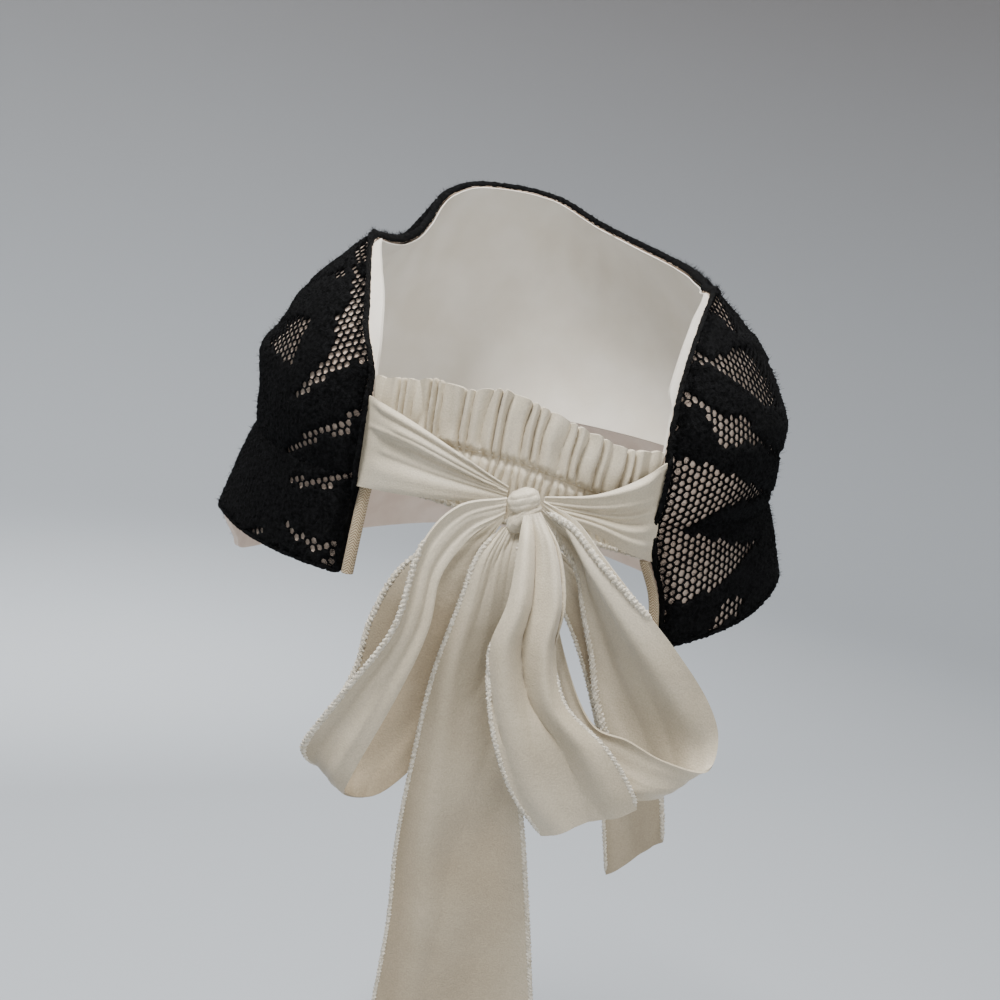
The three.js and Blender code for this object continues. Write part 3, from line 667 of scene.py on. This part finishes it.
def is_net(angle, share):
    """Whether the lace is open net here: charted at the back, fans of leaves round the front."""
    a, found = np.abs(angle), np.zeros(angle.shape, bool)
    rise = np.where(share > 0, CROWN_MM, PEAK_MM) * share
    for side, nets, chains in ((1, RIGHT_NETS, RIGHT_CHAINS), (-1, LEFT_NETS, LEFT_CHAINS)):
        here = inside(nets, a, share) | on_chains(chain_mm(chains), DEGREE_MM * a, rise, CHAIN_REACH)
        found |= here & (np.sign(angle) == side)
    x = FAN_DEGREE * (angle - FANS["angle"][:, None])
    y = np.where(share > 0, FAN_CROWN, FAN_PEAK) * (share - FANS["up"][:, None])
    r, t = np.hypot(x, y), np.arctan2(y, x)
    near = np.argmin(r, axis=0)
    r, t = np.take_along_axis(r, near[None], 0)[0], np.take_along_axis(t, near[None], 0)[0]
    reach, wave = FANS["reach"][near], np.cos(LEAVES * t + FANS["turn"][near])
    fan = (wave > 1 - 1.05 * smooth(r, 5, reach)) & (r < reach * (0.78 + 0.22 * wave))
    front = smooth(a, 84, 90) < 0.5
    return found | (fan & front & (share < 0.95) & (share > -0.93))


def run_along(line):
    """Distance from the pinch along a wall, at angles round it and shares of its height."""
    angle, share = np.linspace(-LACE_ARC / 2, LACE_ARC / 2, 200), np.linspace(0, 1, 60)
    return angle, lengths(line(angle[:, None], share[None, :]), 1)[:, -1]


def lace_place(x, y):
    """Angle and share of a place x millimetres round and y up (down as a minus) from the pinch, both
    kept on the lace, and whether it lies past the lace's edge."""
    angle = x * LACE_ARC / (LACE_COLUMNS * MESH_WIDE)
    full = np.where(y > 0, np.interp(angle, *CROWN_RUN), np.interp(angle, *PEAK_RUN))
    lowest = -0.965 - 0.03 * smooth(np.abs(angle), 85, 105)
    share = np.clip(y / full, lowest, 1)
    limit = np.abs(back_angle(np.where(angle < 0, -1, 1), share))
    over = (y / full > 1) | (y / full < lowest) | (np.abs(angle) > limit)
    return np.clip(angle, -limit, limit), share, over


def on_wall(angle, share, distance):
    """Points at a distance over the cloth: on the crown for a share above 0, on the peak below it."""
    return np.where((share > 0)[..., None], offset(crown_line, angle, np.maximum(share, 0), distance),
                    offset(peak_line, angle, np.maximum(-share, 0), distance))


def on_lace(x, y, distance):
    """Points over the cloth at millimetres round and up from the pinch."""
    angle, share, _ = lace_place(x, y)
    return on_wall(angle, share, distance)


def lace():
    """Knitted lace over crown and peak: one brick lattice of six-sided meshes with points to left and
    right, whose shared corners are the crest of the yarn, cut into six pieces."""
    rng = np.random.default_rng(11)
    rows = ROWS_DOWN + ROWS_UP
    k, j = np.meshgrid(np.arange(LACE_COLUMNS + 1), np.arange(2 * rows + 3), indexing="ij")
    x = MESH_WIDE * (k - 0.5 - LACE_COLUMNS / 2 + np.where((j + k) % 2 == 1, -1, 1) / 6)
    y = MESH_HIGH * ((j - 1) / 2 - ROWS_DOWN + 0.25)
    x = (x + rng.uniform(-JITTER, JITTER, x.shape) * MESH_WIDE).ravel()
    y = (y + rng.uniform(-JITTER, JITTER, y.shape) * MESH_HIGH).ravel()
    column, row = np.meshgrid(np.arange(LACE_COLUMNS), np.arange(rows), indexing="ij")
    tall = 2 * rows + 3
    at = (column * tall + 2 * row + 1 + column % 2).ravel()
    corners = np.stack([at - 1, at + tall - 1, at + tall, at + tall + 1, at + 1, at], -1)
    middle = np.stack([x[corners].mean(1), y[corners].mean(1)], -1)
    angle, share, over = lace_place(middle[:, 0], middle[:, 1])
    corners, middle, angle, share = [a[~over] for a in (corners, middle, angle, share)]
    net = is_net(angle, share)
    solid = np.bincount(corners[~net].ravel(), minlength=len(x))
    crest = YARN["crest"] + YARN["beside"] * np.minimum(solid, 3) + rng.uniform(-0.08, 0.08, len(x))
    for wall, here, turn in (("crown_lace", share > 0, 70), ("visor_lace", share <= 0, 62)):
        for word, low, high in (("left", -180, -turn), ("front", -turn, turn), ("right", turn, 180)):
            part = here & (angle >= low) & (angle < high)
            lace_part(f"{wall}_{word}", x, y, crest, corners[part], middle[part], net[part], wall)


def lace_part(name, x, y, crest, corners, middle, net, stands_for):
    """One stretch of the lace. A hole is a ring of corners drawn in towards its middle and down to the
    cloth; a stitch has a raised middle, by two seeded corners. Free sides are closed by walls."""
    rng = np.random.default_rng(len(corners))
    used, flat = np.unique(corners, return_inverse=True)
    corners = flat.reshape(corners.shape)
    x, y, crest, n = x[used], y[used], crest[used], len(used)
    top, bottom = on_lace(x, y, crest), on_lace(x, y, np.full(n, GAP))
    # Holes
    cells, mid = corners[net], middle[net]
    size = rng.uniform(*HOLE, (len(cells), 1))
    hx = mid[:, :1] + (x[cells] - mid[:, :1]) * size
    hy = mid[:, 1:] + (y[cells] - mid[:, 1:]) * size
    upper = on_lace(hx, hy, np.full(hx.shape, YARN["lip"])).reshape(-1, 3)
    lower = on_lace(hx, hy, np.full(hx.shape, GAP + 0.05)).reshape(-1, 3)
    # Stitches
    closed, mid = corners[~net], middle[~net]
    angles = rng.uniform(-0.5, 0.5, (len(closed), 1)) + np.pi / 3 * np.arange(6)
    sx = mid[:, :1] + 0.22 * MESH_WIDE * np.cos(angles)
    sy = mid[:, 1:] + 0.22 * MESH_HIGH * np.sin(angles)
    inner = on_lace(sx, sy, rng.uniform(*YARN["ring"], sx.shape)).reshape(-1, 3)
    centre = on_lace(mid[:, 0], mid[:, 1], rng.uniform(*YARN["middle"], len(mid)))
    points = np.concatenate([top, bottom, upper, lower, inner, centre])
    nxt = np.roll(np.arange(6), -1)
    up = 2 * n + np.arange(6 * len(cells)).reshape(-1, 6)
    low = up + 6 * len(cells)
    ring = 2 * n + 12 * len(cells) + np.arange(6 * len(closed)).reshape(-1, 6)
    peak = 2 * n + 12 * len(cells) + 6 * len(closed) + np.arange(len(closed))
    # The ring starts at the right-hand point of the mesh, which is corner 2
    ring = ring[:, [4, 5, 0, 1, 2, 3]]
    quads = np.concatenate([
        np.stack([cells, cells[:, nxt], up[:, nxt], up], -1).reshape(-1, 4),
        np.stack([up, up[:, nxt], low[:, nxt], low], -1).reshape(-1, 4),
        np.stack([low, low[:, nxt], cells[:, nxt] + n, cells + n], -1).reshape(-1, 4),
        np.stack([closed, closed[:, nxt], ring[:, nxt], ring], -1).reshape(-1, 4)])
    threes = np.stack([ring, ring[:, nxt], np.repeat(peak[:, None], 6, 1)], -1)
    under = closed[:, ::-1] + n
    a, b = corners.ravel(), corners[:, nxt].ravel()
    free = ~np.isin(a * n + b, b * n + a)
    walls = np.stack([b[free], a[free], a[free] + n, b[free] + n], -1)
    piece(name, points, [quads, threes.reshape(-1, 3), under, walls], KNIT, stands_for, "lace",
          crease=80, clean=True)


def even_out(rows, width):
    """Rows of a path averaged with their neighbours over width rows, the ends repeated."""
    kernel = np.hanning(width + 2)[1:-1]
    padded = np.pad(rows, ((width // 2, width // 2), (0, 0)), mode="edge")
    return np.stack([np.convolve(c, kernel / kernel.sum(), mode="valid") for c in padded.T], -1)


def edge_path(side):
    """From below a temple, along the foot, round the corner and up a back edge: points on the lace's
    edge, the direction out of the cloth, the direction past the edge, and the roll's two half sizes."""
    angle = side * np.linspace(98, abs(back_angle(side, -1)), 90)
    foot = offset(peak_line, angle, 1.0, -0.1)
    down = unit(peak_line(angle, 1.0) - peak_line(angle, 0.97))
    parts = [np.hstack([foot, unit(offset(peak_line, angle, 1.0, 1.0) - foot), down,
                        np.tile(ROLL["foot"], (90, 1))])]
    at = np.linspace(-1, 1, 150)
    angle = back_angle(side, at)
    edge = on_wall(angle, at, 0.15)
    top, foot = TIE_ROOT[WORD[side]]
    held = smooth(edge[:, 2], foot - 3, foot + 1) * (1 - smooth(edge[:, 2], top - 1, top + 3))
    edge = on_wall(angle, at, 0.15 + 0.85 * held)
    parts.append(np.hstack([edge, unit(on_wall(angle, at, 2.0) - edge), around(angle) * side,
                            ROLL["back"] + np.outer(held, (0.5, 0))]))
    return np.concatenate(parts)


def knit_roll():
    """The lace's edge turned over the cloth's: one oval tube round the back corners and the rim, with
    a seeded unevenness of one stitch."""
    angle = np.linspace(back_angle(-1, 1), back_angle(1, 1), 330)
    rim = offset(crown_line, angle, 1.0, 0.1)
    up = unit(crown_line(angle, 1.0) - crown_line(angle, 0.98))
    over = np.hstack([rim, unit(offset(crown_line, angle, 1.0, 2.0) - rim), up,
                      np.tile(ROLL["rim"], (330, 1))])
    rows = np.concatenate([edge_path(-1), over, edge_path(1)[::-1]])
    reach = lengths(rows[:, None, :3], 0)[:, 0]
    even = np.arange(0, reach[-1], 0.7)
    rows = np.stack([np.interp(even, reach, c) for c in rows.T], -1)
    centre, rest = even_out(rows[:, :3], 5), even_out(rows[:, 3:], 7)
    out, past = unit(rest[:, :3])[:, None], unit(rest[:, 3:6])[:, None]
    turn = section(12)
    uneven = 1 + 0.13 * np.random.default_rng(5).standard_normal((len(centre), 12, 1))
    rings = centre[:, None] + uneven * (out * rest[:, 6, None, None] * np.sin(turn)[:, None]
                                        + past * rest[:, 7, None, None] * np.cos(turn)[:, None])
    piece("lace_edge_roll", *loft(rings), KNIT, None, "lace", crease=80)


def tie_lip(side, name):
    """The lace's edge where it comes over the root of a tie: a flat oval roll, thin at both ends."""
    top, foot = TIE_ROOT[WORD[side]]
    i = np.linspace(0, 1, 60)
    height = foot - 1.5 + (top - foot + 3) * i
    size = np.sqrt(np.clip(1 - (2 * i - 1) ** 8, 0.02, 1))[:, None, None]
    centre = back_edge(side, height, 2.62, 0.85)
    angle = side * np.full(60, 151)
    turn = section(12)
    uneven = 1 + 0.12 * np.random.default_rng(8 + side).standard_normal((60, 12, 1))
    rings = centre[:, None] + size * uneven * (
        outward(angle)[:, None] * (0.36 * np.sin(turn))[:, None]
        + around(angle)[:, None] * (0.85 * np.cos(turn))[:, None])
    piece(name, *loft(rings), KNIT, None, "lace", crease=80)


def knit_fuzz(count=12000):
    """Loose wool hairs: three-sided tapered spikes in two bent lengths, standing out of the lace at
    seeded places, more of them along its edges."""
    rng = np.random.default_rng(23)
    crown = rng.random(count) < 0.55
    edge = rng.random(count) < 0.35
    v = np.where(edge & (rng.random(count) < 0.4), np.where(crown, 0.995, 0.955), rng.random(count))
    v = np.where(crown, v, np.minimum(v, 0.955))
    side = np.where(rng.random(count) < 0.5, -1, 1)
    share = np.where(crown, v, -v)
    limit = back_angle(side, share)
    angle = limit * np.where(edge & (v < 0.95), rng.uniform(0.985, 1, count), rng.random(count))
    base, tip = on_wall(angle, share, 1.0), on_wall(angle, share, 2.0)
    axis = unit(unit(tip - base) + rng.normal(0, 0.55, (count, 3)))
    length = rng.uniform(0.8, 2.6, (count, 1))
    bend = rng.normal(0, 0.35, (count, 3))
    knee = base + axis * length * 0.5
    end = knee + unit(axis + bend) * length * 0.5
    one = unit(np.cross(axis, rng.normal(size=(count, 3))))
    two = np.cross(axis, one)
    turn = np.arange(3) * 2 * np.pi / 3
    circle = one[:, None] * np.cos(turn)[None, :, None] + two[:, None] * np.sin(turn)[None, :, None]
    points = np.concatenate([base[:, None] + circle * 0.06, knee[:, None] + circle * 0.05,
                             end[:, None]], axis=1).reshape(-1, 3)
    start = 7 * np.arange(count)[:, None]
    quads = np.concatenate([start + [k, (k + 1) % 3, 3 + (k + 1) % 3, 3 + k] for k in range(3)])
    threes = np.concatenate([start + [3 + k, 3 + (k + 1) % 3, 6] for k in range(3)] + [start + [2, 1, 0]])
    piece("knit_fuzz", points, [quads, threes], KNIT, None, "lace")


def silk_band(name, rows, stands_for, seed, held, folds, crinkle, gather, lobes=None, ridges=(),
              steps=240, columns=40):
    """A band of silk between two edges: the middle lies on the line between them, lifted by a sine of
    folds, by sharp-valleyed creases that run lengthwise, by pleats that fade with distance from the
    knot, by lobes with a deep crease between them, and by narrow ridges; the wall is offset along the
    local normal."""
    f, w = np.meshgrid(np.linspace(0, 1, steps + 1), np.linspace(0, 1, columns + 1), indexing="ij")
    edge = [np.stack([along(rows, c + n, f) for c in "xyz"], -1) for n in "12"]
    run = np.gradient(edge[0] + edge[1], axis=0)
    up = unit(np.cross(edge[1] - edge[0], run))
    up = up * np.where(up[..., 1:2] > 0, -1, 1) if held != "folded" else up
    width = np.linalg.norm(edge[1] - edge[0], axis=-1)
    far = lengths((edge[0] + edge[1]) / 2, 0)
    open_out = smooth(width, 1, 9)
    lift = along(rows, "fold", f) * np.sin(np.pi * folds * w) * (0.8 + 0.4 * ripples(seed + 3, 0.5, w))
    crease = np.abs(ripples(seed, 17, 1.6 * width * w, 0.16 * far)) ** 0.8 - 0.5
    slow = ripples(seed + 1, 24, width * w, far)
    lift = lift + open_out * (crinkle * crease + 0.45 * crinkle * slow)
    near = np.exp(-far / 10) + (np.exp(-(far[-1:] - far) / 10) if held == "folded" else 0)
    turns = 2.6 * w + 0.35 * ripples(seed + 5, 0.4, w) + 0.004 * far
    pleat = np.abs(np.sin(np.pi * turns)) ** 0.8 - 0.5
    lift = lift + gather * near * pleat * open_out
    if lobes:
        drift = lobes["drift"] * np.sin(2 * np.pi * (lobes["waves"] * f + 0.1))
        valley = np.abs(np.sin(np.pi * (2 * w + drift))) ** 0.6 - 0.6
        lift = lift + lobes["depth"] * valley * smooth(f, 0, 0.12) * (1 - 0.75 * smooth(f, 0.5, 0.9))
    for at, height, wide, start, stop in ridges:
        ridge = np.exp(-((w - at - 0.02 * np.sin(5 * f + 9 * at)) / wide) ** 2)
        lift = lift + height * ridge * smooth(width, 0.5, 8) * smooth(f, start, start + 0.1) * (
            1 - smooth(f, stop - 0.1, stop))
    if held == "gathered":
        lift = lift * (0.12 + 0.88 * smooth(far, 0.5, 7))
    middle = edge[0] * (1 - w)[..., None] + edge[1] * w[..., None] + up * lift[..., None]
    normal = unit(np.cross(np.gradient(middle, axis=1), np.gradient(middle, axis=0)))
    made = slab_piece(name, middle + normal * SILK / 2, middle - normal * SILK / 2, cloth_uv(middle),
                      CREPE, stands_for, "silk")
    return middle, normal


def overlock(name, path, inward, normal, over=0.0, pitch=1.3, wide=1.0, thick=0.68, seed=5):
    """Overlocked edge: a bulky rope of two twisted threads along the cloth's edge. Its section is an
    oval whose radius has two bulges that turn once in two pitches, with seeded lumps, and which is
    thin at both ends. over tells how far its start is turned on to the side seen from behind; that
    lessens with the square of the distance."""
    reach = lengths(path[:, None], 0)[:, 0]
    steps = max(int(reach[-1] / pitch * 6), 12)
    t = np.linspace(0, 1, steps + 1)

    def sample(a):
        return np.stack([np.interp(t * reach[-1], reach, a[:, c]) for c in range(3)], -1)

    p, side, up = sample(path), unit(sample(inward)), unit(sample(normal))
    up = up * np.where(up[:, 1:2] > 0, -1, 1)
    turned = over * (1 - t[:, None] ** 2)
    p = p + side * (1.9 * turned + 0.15) + up * turned * (SILK / 2 + thick)
    rng = np.random.default_rng(seed)
    phase = 2 * np.pi * t * reach[-1] / (2 * pitch) + 0.5 * np.cumsum(rng.normal(0, 0.3, steps + 1))
    turn = section(10)
    lump = 0.62 + 0.46 * np.abs(np.cos(turn[None, :] - phase[:, None])) ** 0.9
    lump = lump * (1 + 0.08 * rng.standard_normal((steps + 1, 10)))
    lump = lump * rng.uniform(0.9, 1.1, (steps + 1, 1))
    lump = lump * np.sqrt(np.clip(np.minimum(t, 1 - t) * reach[-1] / 2.5, 0.06, 1))[:, None]
    rings = p[:, None] + lump[..., None] * (side[:, None] * (wide * np.cos(turn))[None, :, None]
                                            + up[:, None] * (thick * np.sin(turn))[None, :, None])
    piece(name, *loft(rings), THREAD, None, "silk", crease=80)


def edge_threads(name, middle, normal, which, seed, parts, **size):
    """The overlock along stretches of the first or last column of a silk grid; between them the edge is
    left bare. A stretch is its start, its end and how far it is turned on to the cloth's face."""
    a, b = (0, 2) if which == "first" else (-1, -3)
    for k, (start, stop, over) in enumerate(parts):
        rows = slice(int(start * (len(middle) - 1)), int(stop * (len(middle) - 1)) + 1)
        overlock(f"{name}_{k + 1}", middle[rows, a], (middle[:, b] - middle[:, a])[rows], normal[rows, a],
                 over, seed=seed + k, **size)


def tie_rows(side, heights, rows):
    """A tie starts at the back edge of the crown, outside the casing."""
    root = back_edge(side, np.array(heights, float), TIE_ROOT["out"], TIE_ROOT["past"])
    return table(EDGES, [(*root[0], *root[1], 0.4), *rows])


def casing():
    """The elastic casing: a curved strip across the gap, with rounded puffs between sharp gathers above
    and below a stitch line that draws it in. The header above the stitches is a loose ruffle."""
    form = CASING_FORM
    i, j = np.meshgrid(np.linspace(0, 1, 321), np.linspace(0, 1, 45), indexing="ij")
    left = back_edge(-1, CASING["top"][0] + (CASING["bottom"][0] - CASING["top"][0]) * j,
                     -CLOTH - LINING / 2, form["root"])
    right = back_edge(1, CASING["top"][-1] + (CASING["bottom"][-1] - CASING["top"][-1]) * j,
                      -CLOTH - LINING / 2, form["root"])
    p = left * (1 - i)[..., None] + right * i[..., None]
    reach = 4 * i * (1 - i)
    p[..., 1] += (form["depth"] - (left + right)[..., 1] / 2) * reach
    top, bottom = along(CASING, "top", i), along(CASING, "bottom", i)
    above = 1 - smooth(j, form["stitch"] - 0.08, form["stitch"] + 0.02)
    place = i + 0.015 * ripples(31, 0.13, i) + 0.006 * ripples(33, 0.5, i, j)
    bands = np.abs(np.sin(np.pi * form["gathers"] * (place + 0.012 * np.sin(5 * j))))
    tight = np.abs(np.sin(np.pi * 1.55 * form["gathers"] * (i + 0.008 * ripples(37, 0.1, i, 0.2 * j))))
    size = 0.75 + 0.35 * ripples(35, 0.11, i)
    header = size * (bands ** 0.7 - 0.45)
    ruffle = (1.1 * header + 0.8 * ripples(39, 0.22, i)) * (1 - smooth(j, 0, 0.35))
    p[..., 2] = top + (bottom - top) * j + ruffle
    flat = np.exp(-((j - form["stitch"]) / 0.035) ** 2)
    lift = 2.7 * header * above + 1.2 * (tight ** 0.8 - 0.5) * (1 - above)
    lift = lift + 0.5 * above * (1 - above) * 4 * (0.3 + tight * 0.4)
    lift = lift * (1 - 0.6 * flat) * np.minimum(1, 3 * reach) - 1.2 * flat
    facing = outward(180 + (1 - 2 * i) * form["turn"])
    thick = form["thick"] / 2
    front = p + facing * (thick + lift)[..., None]
    back = p + facing * (-thick + 0.5 * lift)[..., None]
    middle = (front + back) / 2
    made = slab_piece("back_casing_gathers", front, back, cloth_uv(middle), CREPE, "back_casing", "silk")
    overlock("casing_bottom_threads", front[:, -1], front[:, -3] - front[:, -1], facing[:, -1], wide=0.8,
             thick=0.5, seed=41)
    return front, int(form["stitch"] * (front.shape[1] - 1))


def casing_stitches(front, line):
    """Straight stitches that draw up the gathers: short thread capsules, each a ring of four sides
    that swells in its middle, along the casing's drawn-in line."""
    reach = lengths(front[:, line][:, None], 0)[:, 0]
    count = int(reach[-1] / 2.0)
    start = np.arange(count) * 2.0 + 0.3
    t = np.linspace(0, 1, 5)
    where = start[:, None] + 1.35 * t
    p = np.stack([np.interp(where, reach, front[:, line, c]) for c in range(3)], -1)
    run = unit(p[:, -1:] - p[:, :1])
    up = np.array([0, 0, 1.0])
    out = unit(np.cross(run, up))
    radius = 0.17 * np.sqrt(np.clip(1 - (2 * t - 1) ** 2, 0.05, 1))[None, :, None, None]
    turn = np.arange(4) * np.pi / 2
    ring = out[:, :, None] * np.cos(turn)[None, None, :, None] + up * np.sin(turn)[None, None, :, None]
    centre = p - out * 0.25 * np.sign(out[..., 1:2])
    points = (centre[:, :, None] + ring * radius).reshape(-1, 3)
    base = 20 * np.arange(count)[:, None]
    sides = [base + [4 * a + b, 4 * a + (b + 1) % 4, 4 * a + 4 + (b + 1) % 4, 4 * a + 4 + b]
             for a in range(4) for b in range(4)]
    quads = np.concatenate(sides + [base + [3, 2, 1, 0], base + [16, 17, 18, 19]])
    piece("casing_stitches", points, quads, THREAD, None, "silk")


def end_hem(side, name):
    """Rolled tape along the back end of the peak: a flattened tube whose section is an oval."""
    foot, width = -back_drop(side), HEM[WORD[side]]
    head = float((CASING["bottom"][0] if side < 0 else CASING["bottom"][-1]) - 2 * GAP)
    height = head + (foot - head) * np.linspace(0, 1, 41)
    middle = back_edge(side, height, -PEAK_CLOTH / 2, GAP + width / 2)
    angle = back_angle(side, -height / foot)
    turn = section(24)
    rings = (middle[:, None]
             + outward(angle)[:, None] * (HEM["thick"] / 2 * np.sin(turn))[None, :, None]
             + around(angle)[:, None] * (width / 2 * np.cos(turn))[None, :, None])
    points, quads = loft(rings)
    across = 1.7 * np.minimum(turn, 2 * np.pi - turn)
    uv = np.stack(np.broadcast_arrays(lengths(middle[:, None], 0), across[None, :]), -1)
    piece(name + "_tape", points, quads, TWILL, name, "twill", uv)


def knot_strand(name, place, half, slant, ridges, seed):
    """One strand of the knot: a rounded cushion, its length slanted in the view from behind, with
    ridges of gathered cloth that run along it. A point's radius is 1 and a small ripple across."""
    lat, lon = np.meshgrid(np.linspace(-np.pi / 2 + 0.02, np.pi / 2 - 0.02, 57),
                           np.linspace(0, 2 * np.pi, 84, endpoint=False), indexing="ij")
    x, y, z = np.cos(lat) * np.cos(lon), np.cos(lat) * np.sin(lon), np.sin(lat)
    fold = np.abs(np.sin(ridges * z + 1.2 * x + seed)) ** 0.8 - 0.5
    swell = 0.96 + 0.055 * fold * smooth(-y, -0.2, 0.4) + 0.03 * ripples(seed, 0.6, x, y, z)
    a, b, c = [h * np.sign(v) * np.abs(v) ** KNOT["square"] * swell for h, v in zip(half, (x, y, z))]
    t = np.radians(slant)
    rings = np.stack([place[0] + a * np.cos(t) - c * np.sin(t), place[1] + b,
                      place[2] + a * np.sin(t) + c * np.cos(t)], -1)
    piece(name, *loft(rings), CREPE, "bow_knot", "silk", crease=70)


def knot():
    """The knot: an upper wrap that rises to the right over a lower strand that rises more steeply."""
    knot_strand("bow_knot_wrap", KNOT["upper"], (4.3, 3.6, 3.2), 27, 6.5, 4)
    knot_strand("bow_knot_strand", KNOT["lower"], (5.3, 3.5, 2.8), 50, 3.4, 5)


def place_camera():
    """The photograph's camera: above and behind the hat, tilted down and rolled."""
    tilt, roll = np.radians(CAMERA["tilt"]), np.radians(CAMERA["roll"])
    forward = Vector((0, np.cos(tilt), -np.sin(tilt)))
    right, up = Vector((1, 0, 0)), Vector((0, np.sin(tilt), np.cos(tilt)))
    x = right * np.cos(roll) + up * np.sin(roll)
    y = up * np.cos(roll) - right * np.sin(roll)
    camera = bpy.data.objects.new("camera", bpy.data.cameras.new("camera"))
    camera.data.sensor_width = 36
    camera.data.lens = 36 * CAMERA["focal"] / 1000
    camera.data.clip_start, camera.data.clip_end = 0.01, 20
    place = (Vector(CAMERA["look"]) - forward * CAMERA["distance"]) * MM
    turn = Matrix((x, y, -forward)).transposed().to_4x4()
    camera.matrix_world = Matrix.Translation(place) @ turn
    bpy.context.scene.collection.objects.link(camera)
    bpy.context.scene.camera = camera


def studio():
    """A pale round floor that sweeps up into a wall all round, a grey sky and four soft lights."""
    material, tree, shader, where = new_material("pale_paper_sweep", Roughness=0.9)
    # Painted shade: the sweep's colour darkens from the floor up to the top of its wall
    split = node(tree, "SeparateXYZ", {"Vector": where["Object"]})
    height = node(tree, "MapRange", {"Value": split.outputs["Z"], "From Min": FLOOR, "From Max": 0.7})
    ramp = node(tree, "ValToRGB", {"Fac": height.outputs["Result"]})
    for element, code in zip(ramp.color_ramp.elements, ("#b8bdc2", "#918f8f")):
        element.color = linear(code)
    tree.links.new(ramp.outputs["Color"], shader.inputs["Base Color"])
    t = np.linspace(0, 1, 49)[:, None]
    turn = np.linspace(0, 2 * np.pi, 97)[None, :-1]
    bend = np.clip((t - 0.4) / 0.3, 0, 1) * np.pi / 2
    radius = 0.001 + 1.5 * np.minimum(t / 0.4, 1) + 0.9 * np.sin(bend)
    z = FLOOR + 0.9 * (1 - np.cos(bend)) + 2.2 * np.clip((t - 0.7) / 0.3, 0, 1)
    grid = np.stack(np.broadcast_arrays(radius * np.cos(turn), radius * np.sin(turn), z), -1)
    i, j = np.meshgrid(np.arange(48), np.arange(96), indexing="ij")
    k = (j + 1) % 96
    quads = np.stack([i * 96 + j, (i + 1) * 96 + j, (i + 1) * 96 + k, i * 96 + k], -1).reshape(-1, 4)
    mesh = bpy.data.meshes.new("backdrop")
    mesh.from_pydata(grid.reshape(-1, 3).tolist(), [], quads.tolist())
    mesh.shade_smooth()
    mesh.materials.append(material)
    backdrop = bpy.data.objects.new("backdrop", mesh)
    bpy.context.scene.collection.objects.link(backdrop)
    for name, place, target, size, power in LIGHTS:
        light = bpy.data.lights.new(name, "AREA")
        light.size, light.energy = size, power
        lamp = bpy.data.objects.new(name, light)
        lamp.location = place
        lamp.rotation_euler = (Vector(target) - Vector(place)).to_track_quat("-Z", "Y").to_euler()
        lamp.visible_camera = False
        bpy.context.scene.collection.objects.link(lamp)
    world = bpy.data.worlds.new("studio")
    world.use_nodes = True
    world.node_tree.nodes["Background"].inputs["Color"].default_value = linear("#d3d5d8")
    world.node_tree.nodes["Background"].inputs["Strength"].default_value = 0.38
    bpy.context.scene.world = world


place_camera()
studio()
crown_sheet("crown_cloth_sheet", 0, -CLOTH, VOILE, "cloth")
crown_sheet("crown_lining_sheet", -CLOTH - GAP, -CLOTH - GAP - LINING, VISCOSE, "lining", past=True)
peak_sheet()
CROWN_RUN, PEAK_RUN = run_along(crown_line), run_along(peak_line)
lace()
knit_roll()
for side, word in WORD.items():
    tie_lip(side, word + "_tie_lip")
knit_fuzz()
for side, word in WORD.items():
    end_hem(side, word + "_end_hem")
casing_front, stitch_line = casing()
casing_stitches(casing_front, stitch_line)
knot()
for side, rows, seed, ridges in ((-1, LEFT_TIE, 51, LEFT_RIDGES), (1, RIGHT_TIE, 57, RIGHT_RIDGES)):
    word = WORD[side]
    silk_band(word + "_tie_silk", tie_rows(side, TIE_ROOT[word], rows), word + "_tie", seed, "gathered",
              folds=3, crinkle=0.15, gather=0, ridges=ridges, steps=90, columns=90)
for band, rows, seed, held, form, first, last in BANDS:
    middle, normal = silk_band(band + "_silk", rows, band, seed, held, **form)
    rope = TAIL_ROPE if band.endswith("tail") else {}
    edge_threads(band + "_first_edge", middle, normal, "first", seed, first, **rope)
    rope = BULKY_ROPE if band == "right_loop" else rope
    edge_threads(band + "_last_edge", middle, normal, "last", seed + 1, last, **rope)
